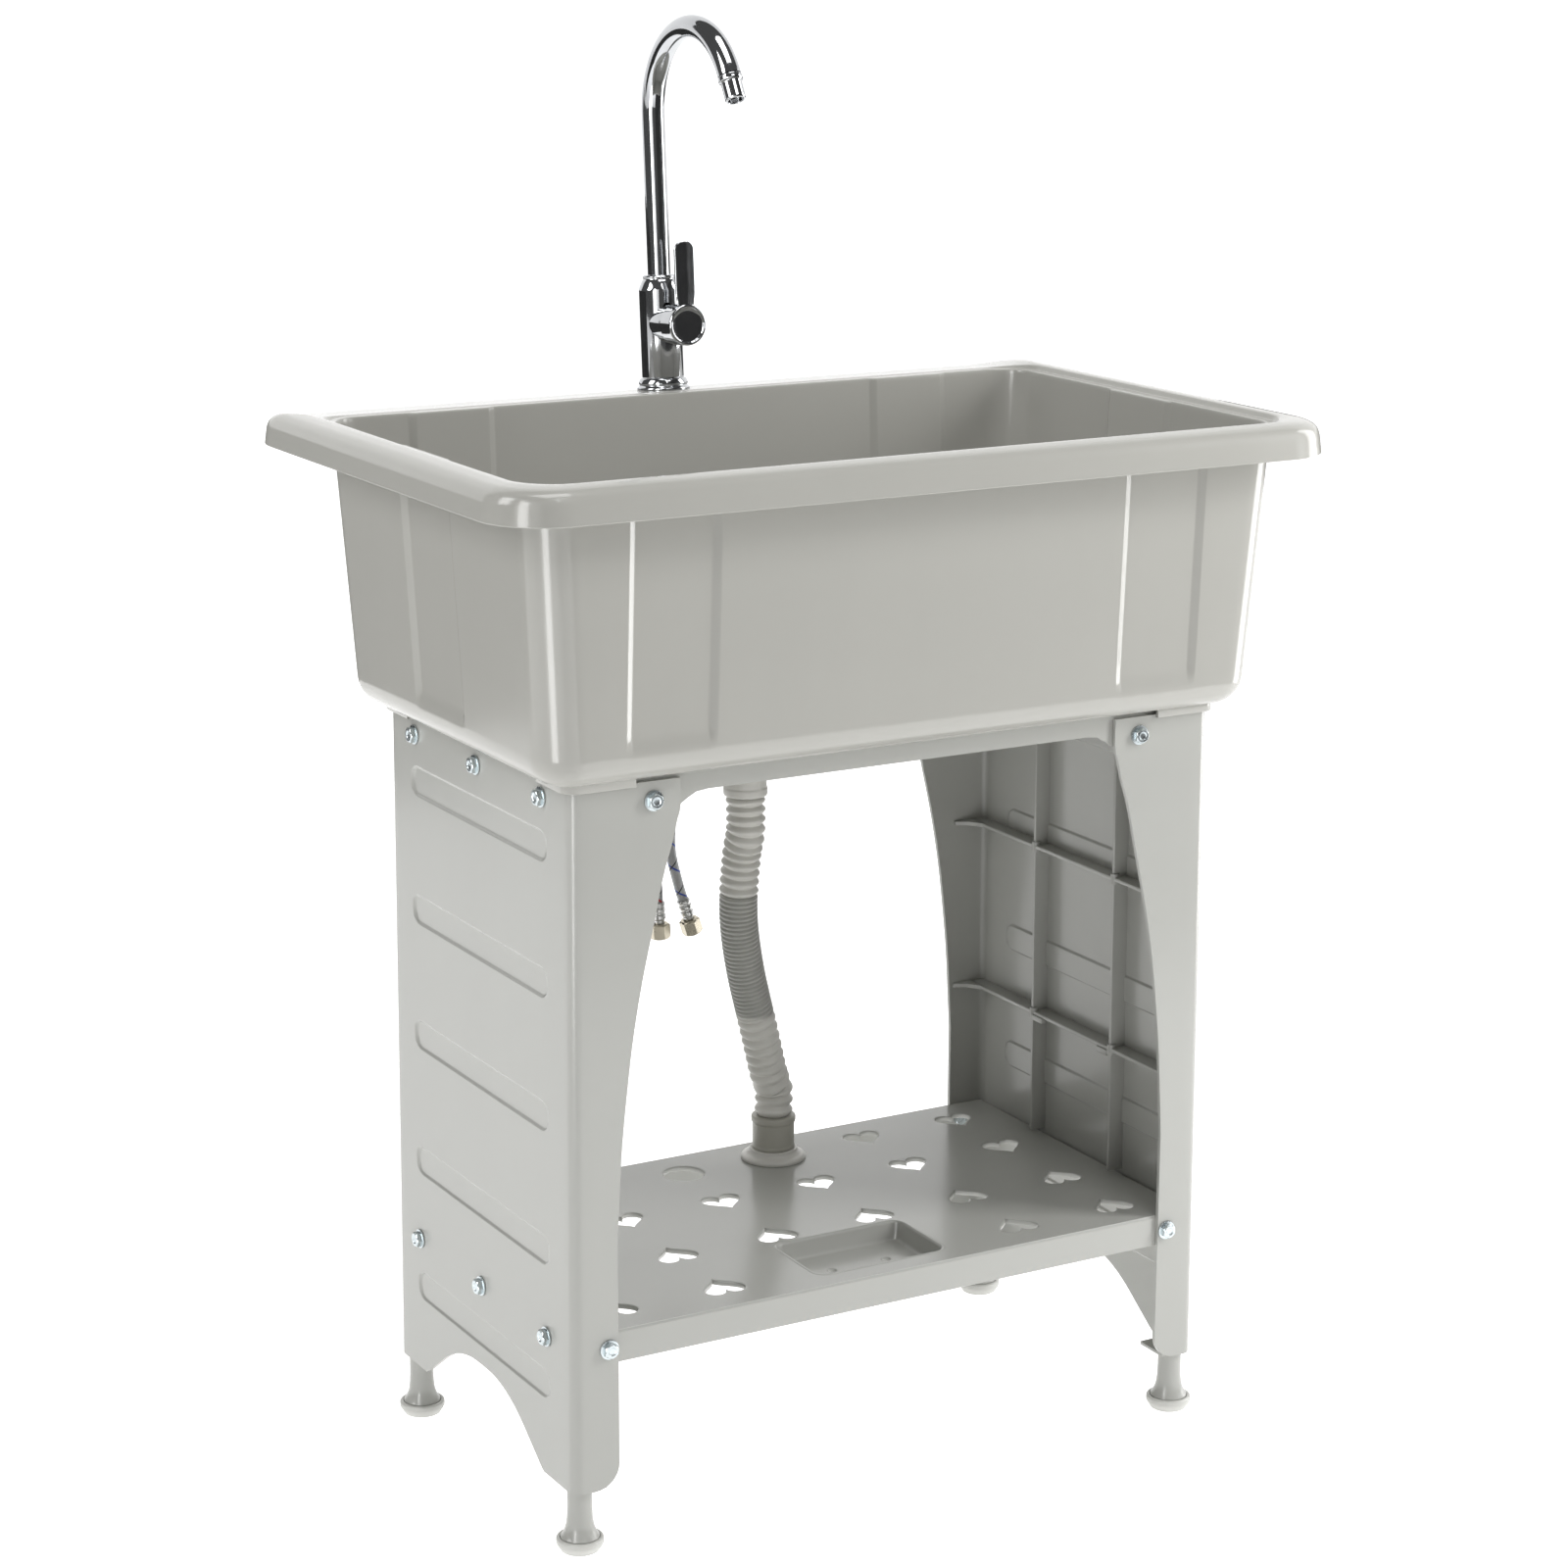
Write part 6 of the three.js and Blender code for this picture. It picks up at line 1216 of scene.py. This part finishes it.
# ---------- tap: drawn upright on its own axis, then leaned back square to the deck ----------
tap = {
    "place": (0.0, 192.0, 743.4835), "lean": -4.1028, "flange": 20.0, "flangeHeight": 8.9, "body": 16.0,
    "shoulder": 74.0, "top": 85.0, "neck": 12.4,
    "spout": 8.65, "spoutBore": 6.9, "socket": 20.0, "rise": 201.0, "arc": 63.0, "sweep": 155.0,
    "aerator": 7.7, "aeratorLength": 19.0,
    "handle": 49.0, "boss": 14.0, "ball": 17.5, "seam": 10.0, "knob": 15.25, "knobFront": 43.5,
    "recess": 1.2,
    "leverWidth": 16.5, "leverThick": 3.4, "leverTop": 110.0, "shank": 13.0, "shankBore": 10.4,
    "shankEnd": -38.0,
}


def onTap(grid):
    return moved(leanedX(grid, tap["lean"]), tap["place"])


def tapPiece(name, grids, node, body="sink", finish=None, sharp=50):
    return makePiece(name, [onTap(grid) for grid in grids], finish or tapChrome, body, [node],
                     sharp=sharp)


def toFront(grid):
    # a piece turned about +Z is laid towards -Y at the handle's height, starting at the ball's centre
    y, z = grid[..., 1], grid[..., 2]
    return np.stack([grid[..., 0], -z - tap["ball"], y + tap["handle"]], axis=-1)


def makeTap():
    t = tap
    gap = 0.3
    f, body, high, bore = t["flange"], t["body"], t["flangeHeight"], t["shank"] + gap
    base = rounded([(bore, gap), (f, gap), (f, 1.6), (f - 1.6, 3.0), (f - 1.9, 3.6), (f - 1.1, 4.4),
                    (f - 1.5, 6.2), (body + 1.4, high - 0.3), (body + 0.2, high), (bore, high),
                    (bore, gap)],
                   [0, 0.3, 0.6, 0.8, 0.4, 0.7, 1.2, 1.2, 0.2, 0.2, 0], 4)
    tapPiece("tapFlange", [turned(base, 96)], "tap_flange")
    low, s, n, top = high + gap, t["shoulder"], t["neck"], t["top"]
    bore, sleeve, seat = t["shankBore"], t["spout"] + gap, top - t["socket"]
    column = rounded([(0, low + 16), (bore, low + 16), (bore, low), (body, low), (body, s),
                      (body - 0.4, s + 1.6), (n + 1.2, s + 6.2), (n, s + 8), (n, s + 8.6),
                      (n + 0.5, s + 9.2), (n + 0.5, top - 1.2), (n - 0.6, top), (sleeve, top),
                      (sleeve, seat), (0, seat)],
                     [0, 0.3, 0.3, 0.4, 1.0, 2.0, 3.0, 0.8, 0.3, 0.3, 0.5, 0.5, 0.3, 0.3, 0], 5)
    r, reach = t["boss"], t["ball"] + t["seam"] - 1.3
    boss = turned(rounded([(0, 0), (r, 0), (r, reach - 0.2), (r - 0.6, reach), (0, reach)], 0.4, 3), 96)
    tapPiece("tapBody", [turned(column, 96), toFront(moved(boss, (0, 0, -t["ball"])))], "tap_body")

    foot = seat + gap
    sweep = math.radians(t["sweep"])
    up = np.linspace(foot, t["rise"], 30)
    a = np.linspace(0, sweep, 97)[1:]
    bend = np.column_stack([0 * a, -t["arc"] * (1 - np.cos(a)), t["rise"] + t["arc"] * np.sin(a)])
    line = np.vstack([np.column_stack([0 * up, 0 * up, up]), bend])
    outer = alongPath(line, t["spout"], (1, 0, 0), 64)
    inner = alongPath(line, t["spoutBore"], (1, 0, 0), 64)[::-1]
    tapPiece("tapSpout", [np.concatenate([outer, inner, outer[:1]])], "tap_spout", "spout")
    r, far, s = t["aerator"], t["aeratorLength"], t["spout"]
    nose = rounded([(0, gap), (s - 0.4, gap), (s + 0.35, 1.0), (s + 0.35, 4.2), (s - 0.2, 4.9), (r, 5.4),
                    (r, far - 0.9), (r - 0.5, far), (r - 1.7, far), (r - 2, far - 0.4), (r - 2, far - 3.4),
                    (0, far - 3.4)], [0, 0.3, 0.5, 0.4, 0.2, 0.3, 0.4, 0.3, 0.2, 0.2, 0.2, 0], 4)
    ahead = (0, -math.sin(sweep), math.cos(sweep))
    end = line[-1]
    face = onTap(np.array([end + np.array(ahead) * (far - 3.4)]))[0]
    tapPiece("tapAerator", [pointed(turned(nose, 72), end, ahead)], "tap_aerator", "spout",
             makeAeratorFinish(face))

    ball = math.hypot(t["knob"], t["seam"])

    def ballArc(radius, fromR, toR):
        angle = np.linspace(math.asin(fromR / radius), math.asin(toR / radius), 14)
        return np.column_stack([radius * np.sin(angle), radius * np.cos(angle)])

    cap = np.vstack([[0, t["seam"] - 1], [t["boss"], t["seam"] - 1], ballArc(ball - 0.5, t["boss"], 0)])
    tapPiece("tapBallCap", [toFront(turned(cap, 80))], "tap_ball_cap", "handle_ball")
    front = t["knobFront"] - t["ball"]
    k, dish = t["knob"], front - t["recess"]
    face = rounded([(k, front - 8), (k, front - 1), (k - 0.8, front), (k - 2.0, front), (k - 2.7, dish),
                    (k - 5, dish - 0.25), (0, dish - 0.45)], [0, 1.0, 0.6, 0.6, 0.4, 0.6, 0], 4)
    knobLine = np.vstack([ballArc(ball, 0, k), face])
    tapPiece("tapKnob", [toFront(turned(knobLine, 96))], "tap_knob", "handle")
    makeLever()
    makeUnderDeck()


def makeLever():
    # a blade: its section, a flat oval with a low ridge down the front, is drawn in towards the top
    t = tap
    tip = 6.0
    straight = np.linspace(t["handle"] + t["knob"] - 0.6, t["leverTop"] - tip, 20)
    rounding = t["leverTop"] - tip * (1 - np.sin(np.linspace(0.1, math.pi / 2, 14)))
    rows = np.concatenate([straight, rounding])
    a = np.linspace(0, 2 * math.pi, 65)
    near = np.clip((rows - (t["leverTop"] - tip)) / tip, 0, 1)
    half = t["leverWidth"] / 2 - tip * (1 - np.sqrt(np.maximum(1 - near**2, 0)))
    neck = 1 - 0.12 * smoothStep((t["handle"] + t["knob"] + 9 - rows) / 9)
    half = half * neck
    c, s = np.cos(a), np.sin(a)
    x = np.sign(c) * np.abs(c) ** 0.7
    y = np.sign(s) * np.abs(s) ** 0.55
    ridge = 0.42 * np.clip(1 - np.abs(x) / 0.55, 0, 1) * (y < 0)
    thick = t["leverThick"] / 2
    middle = -t["knobFront"] + 1 + thick
    depth = middle + (thick * y - ridge)[None, :] * np.ones_like(half)[:, None]
    grid = np.stack([half[:, None] * x[None, :], depth, rows[:, None] + 0 * x[None, :]], axis=2)
    tapPiece("tapLever", [capped(grid)], "tap_lever", "handle", sharp=60)


def makeUnderDeck():
    t = tap
    turns = np.arange(0, 61)
    bore, low, high = t["shankBore"], t["shankEnd"], t["flangeHeight"]
    z = low + (high - low) * turns / 60
    r = np.where(turns % 2 == 0, t["shank"] - 0.05, t["shank"] - 0.6)
    profile = np.vstack([[bore, low], np.column_stack([r, z]), [bore, high], [bore, low]])
    makePiece("tapShank", [onTap(turned(profile, 64))], nutBrass, "sink", ["tap_shank"], sharp=25)
    top = -3.3
    washer = rounded([(13.3, top - 2.5), (16.2, top - 2.5), (16.2, top), (13.3, top), (13.3, top - 2.5)],
                     0.4, 3)
    makePiece("tapWasher", [onTap(turned(washer))], gasketRubber, "sink", ["tap_washer"])
    top = -6.1
    nut = [(13.3, top - 6), (14.6, top - 6), (16.2, top - 5.2), (16.2, top - 0.8), (14.6, top), (13.3, top),
           (13.3, top - 6)]
    makePiece("tapNut", [onTap(hexTurned(nut, 16.2))], nutBrass, "sink", ["tap_nut"])
    tail = turned(rounded([(0, -51.9), (4.2, -51.9), (4.5, -51.2), (4.5, -44.2), (4.0, -43.2), (3.6, -43.2),
                           (3.6, 24.9), (0, 24.9)], 0.2, 2), 32)
    for side, sx in (("hot", -1), ("cold", 1)):
        placed = onTap(moved(tail, (sx * 5.2, 0, 0)))
        makePiece("supplyTail_" + side, [placed], nutBrass, "sink", ["supply_tail_" + side])


def makeAeratorFinish(centre):
    # chrome with a mesh of fine squares on the face that the water leaves by: half the squares are painted
    # near black, a painted shade standing in for its holes, the others dark grey
    finish = tapChrome.copy()
    finish.name = "aeratorChrome"
    tree = finish.node_tree
    shader = tree.nodes["Principled BSDF"]
    here = addNode(tree, "ShaderNodeTexCoord").outputs["Object"]
    distance = addNode(tree, "ShaderNodeVectorMath", operation="DISTANCE")
    tree.links.new(here, distance.inputs[0])
    distance.inputs[1].default_value = tuple(centre * mm)
    near = ramped(tree, distance.outputs["Value"], 1, 0, 0.0053, 0.0056)
    meshAndHoleShade = addNode(tree, "ShaderNodeTexChecker", Scale=1500)
    tree.links.new(here, meshAndHoleShade.inputs["Vector"])
    # painted shade: the near-black squares stand in for the mesh's holes
    mesh = mixedColour(tree, meshAndHoleShade.outputs["Fac"], (0.03, 0.03, 0.03), (0.25, 0.25, 0.25))
    old = shader.inputs["Base Color"].links[0].from_socket
    tree.links.new(mixedColour(tree, near, old, mesh), shader.inputs["Base Color"])
    return finish


makeTap()
print("tap made")

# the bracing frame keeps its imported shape
for name in ("upper_frame",):
    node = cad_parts[name]
    node.data.materials.clear()
    node.data.materials.append(standPlastic)

# ---------- floor and light ----------
studio = {
    "floor": 0.8, "glow": 0.78, "world": 0.1, "cardsAt": 1350,
    # name, bearing, distance, height, width, watts, length
    "soft": [("keySoftbox", 0, 2.3, 2.95, 1.2, 20, None), ("leftSoftbox", -95, 2.4, 2.0, 0.9, 29, 1.4),
             ("rightSoftbox", 52, 1.7, 1.1, 0.5, 21, 1.2), ("topSoftbox", 0, 0.3, 3.1, 1.4, 29, None)],
    # name, bearing, distance, width, radiance
    "strips": [("rightStrip", 78, 1.5, 0.55, 5.5), ("leftStrip", -60, 1.5, 0.34, 7.5),
               ("leftGlow", -55, 1.6, 1.0, 1.1)],
    # name, bearings, heights, level of grey
    "cards": [("frontCard", -8, 66, 20, 2200, 0.01), ("leftCard", -178, -116, 200, 780, 0.01),
              ("rightCard", 96, 130, 480, 800, 0.02), ("browCard", -62, -12, 1500, 2300, 0.05)],
}


def studioSheet(name, grid, finishName, grey, roughness, glow):
    # a sheet of the studio: a grid in millimetres with an even grey and a glow of its own
    rows, cols = grid.shape[:2]
    index = np.arange(rows * cols).reshape(rows, cols)
    quad = np.stack([index[:-1, :-1], index[:-1, 1:], index[1:, 1:], index[1:, :-1]],
                    axis=-1).reshape(-1, 4)
    mesh = bpy.data.meshes.new(name)
    mesh.from_pydata((grid.reshape(-1, 3) * mm).tolist(), [], quad.tolist())
    finish, _, shader = newFinish(finishName)
    shader.inputs["Base Color"].default_value = (grey, grey, grey, 1)
    shader.inputs["Roughness"].default_value = roughness
    shader.inputs["Emission Color"].default_value = (1, 1, 1, 1)
    shader.inputs["Emission Strength"].default_value = glow
    mesh.materials.append(finish)
    sheet = bpy.data.objects.new(name, mesh)
    bpy.context.scene.collection.objects.link(sheet)
    return sheet


def makeStage():
    # a floor that bends up into a backdrop far behind
    a = np.linspace(0, math.pi / 2, 13)
    bend = np.column_stack([3200 + 1500 * np.sin(a), 1500 * (1 - np.cos(a))])
    profile = np.vstack([[-6000, 0], [3200, 0], bend, [4700, 7000]])
    xs = np.linspace(-9000, 9000, 3)
    grid = np.stack([xs[None, :] + 0 * profile[:, :1], profile[:, :1] + 0 * xs, profile[:, 1:] + 0 * xs],
                    axis=2)
    turn = math.radians(-view["yaw"])
    m = np.array([[math.cos(turn), math.sin(turn), 0], [-math.sin(turn), math.cos(turn), 0], [0, 0, 1]])
    floor = studioSheet("floor", grid @ m, "paleFloor", studio["floor"], 0.85, studio["glow"])
    floor.data.shade_smooth()


def makeLight(name, place, target, size, power, length=None, shine=False):
    # a soft box shades the surfaces; with shine it is a strip that only shows in their gloss
    lamp = bpy.data.lights.new(name, "AREA")
    lamp.shape = "RECTANGLE" if length else "SQUARE"
    lamp.size = size
    if length:
        lamp.size_y = length
    lamp.energy = power
    light = bpy.data.objects.new(name, lamp)
    light.location = place
    aim = Vector(target) - Vector(place)
    light.rotation_euler = aim.to_track_quat("-Z", "Y").to_euler()
    light.visible_camera = False
    light.visible_diffuse = not shine
    bpy.context.scene.collection.objects.link(light)
    return light


def around(bearing, distance, height):
    # a place round the sink: its bearing is counted from the front towards the right, in degrees
    a = math.radians(bearing)
    return (distance * math.sin(a), -distance * math.cos(a), height)


def makeStrip(name, bearing, distance, width, radiance):
    low, high = 0.02, 1.9
    place = around(bearing, distance, (low + high) / 2)
    power = radiance * math.pi * width * (high - low)
    return makeLight(name, place, (0, 0, place[2]), width, power, length=high - low, shine=True)


def makeCard(name, start, end, low, high, level):
    # a dark curved card out of view, as photographers stand one up to draw dark lines in chrome
    a = np.radians(np.linspace(start, end, 25))
    ring = studio["cardsAt"] * np.stack([np.sin(a), -np.cos(a)], axis=1)
    grid = np.stack([atHeight(ring, z) for z in (low, high)])
    card = studioSheet(name, grid, "darkFelt", 0.01, 1.0, level)
    card.visible_camera = card.visible_diffuse = card.visible_shadow = card.visible_transmission = False


def makeStudio():
    for name, bearing, distance, height, size, power, length in studio["soft"]:
        makeLight(name, around(bearing, distance, height), (0, 0, 0.5), size, power, length=length)
    for name, bearing, distance, width, radiance in studio["strips"]:
        makeStrip(name, bearing, distance, width, radiance)
    for values in studio["cards"]:
        makeCard(*values)
    world = bpy.data.worlds.new("studioWorld")
    bpy.context.scene.world = world
    world.use_nodes = True
    world.node_tree.nodes["Background"].inputs["Color"].default_value = (1, 1, 1, 1)
    world.node_tree.nodes["Background"].inputs["Strength"].default_value = studio["world"]


makeStage()
makeStudio()
bpy.context.scene.view_settings.view_transform = "Standard"
print("stage and lights made")
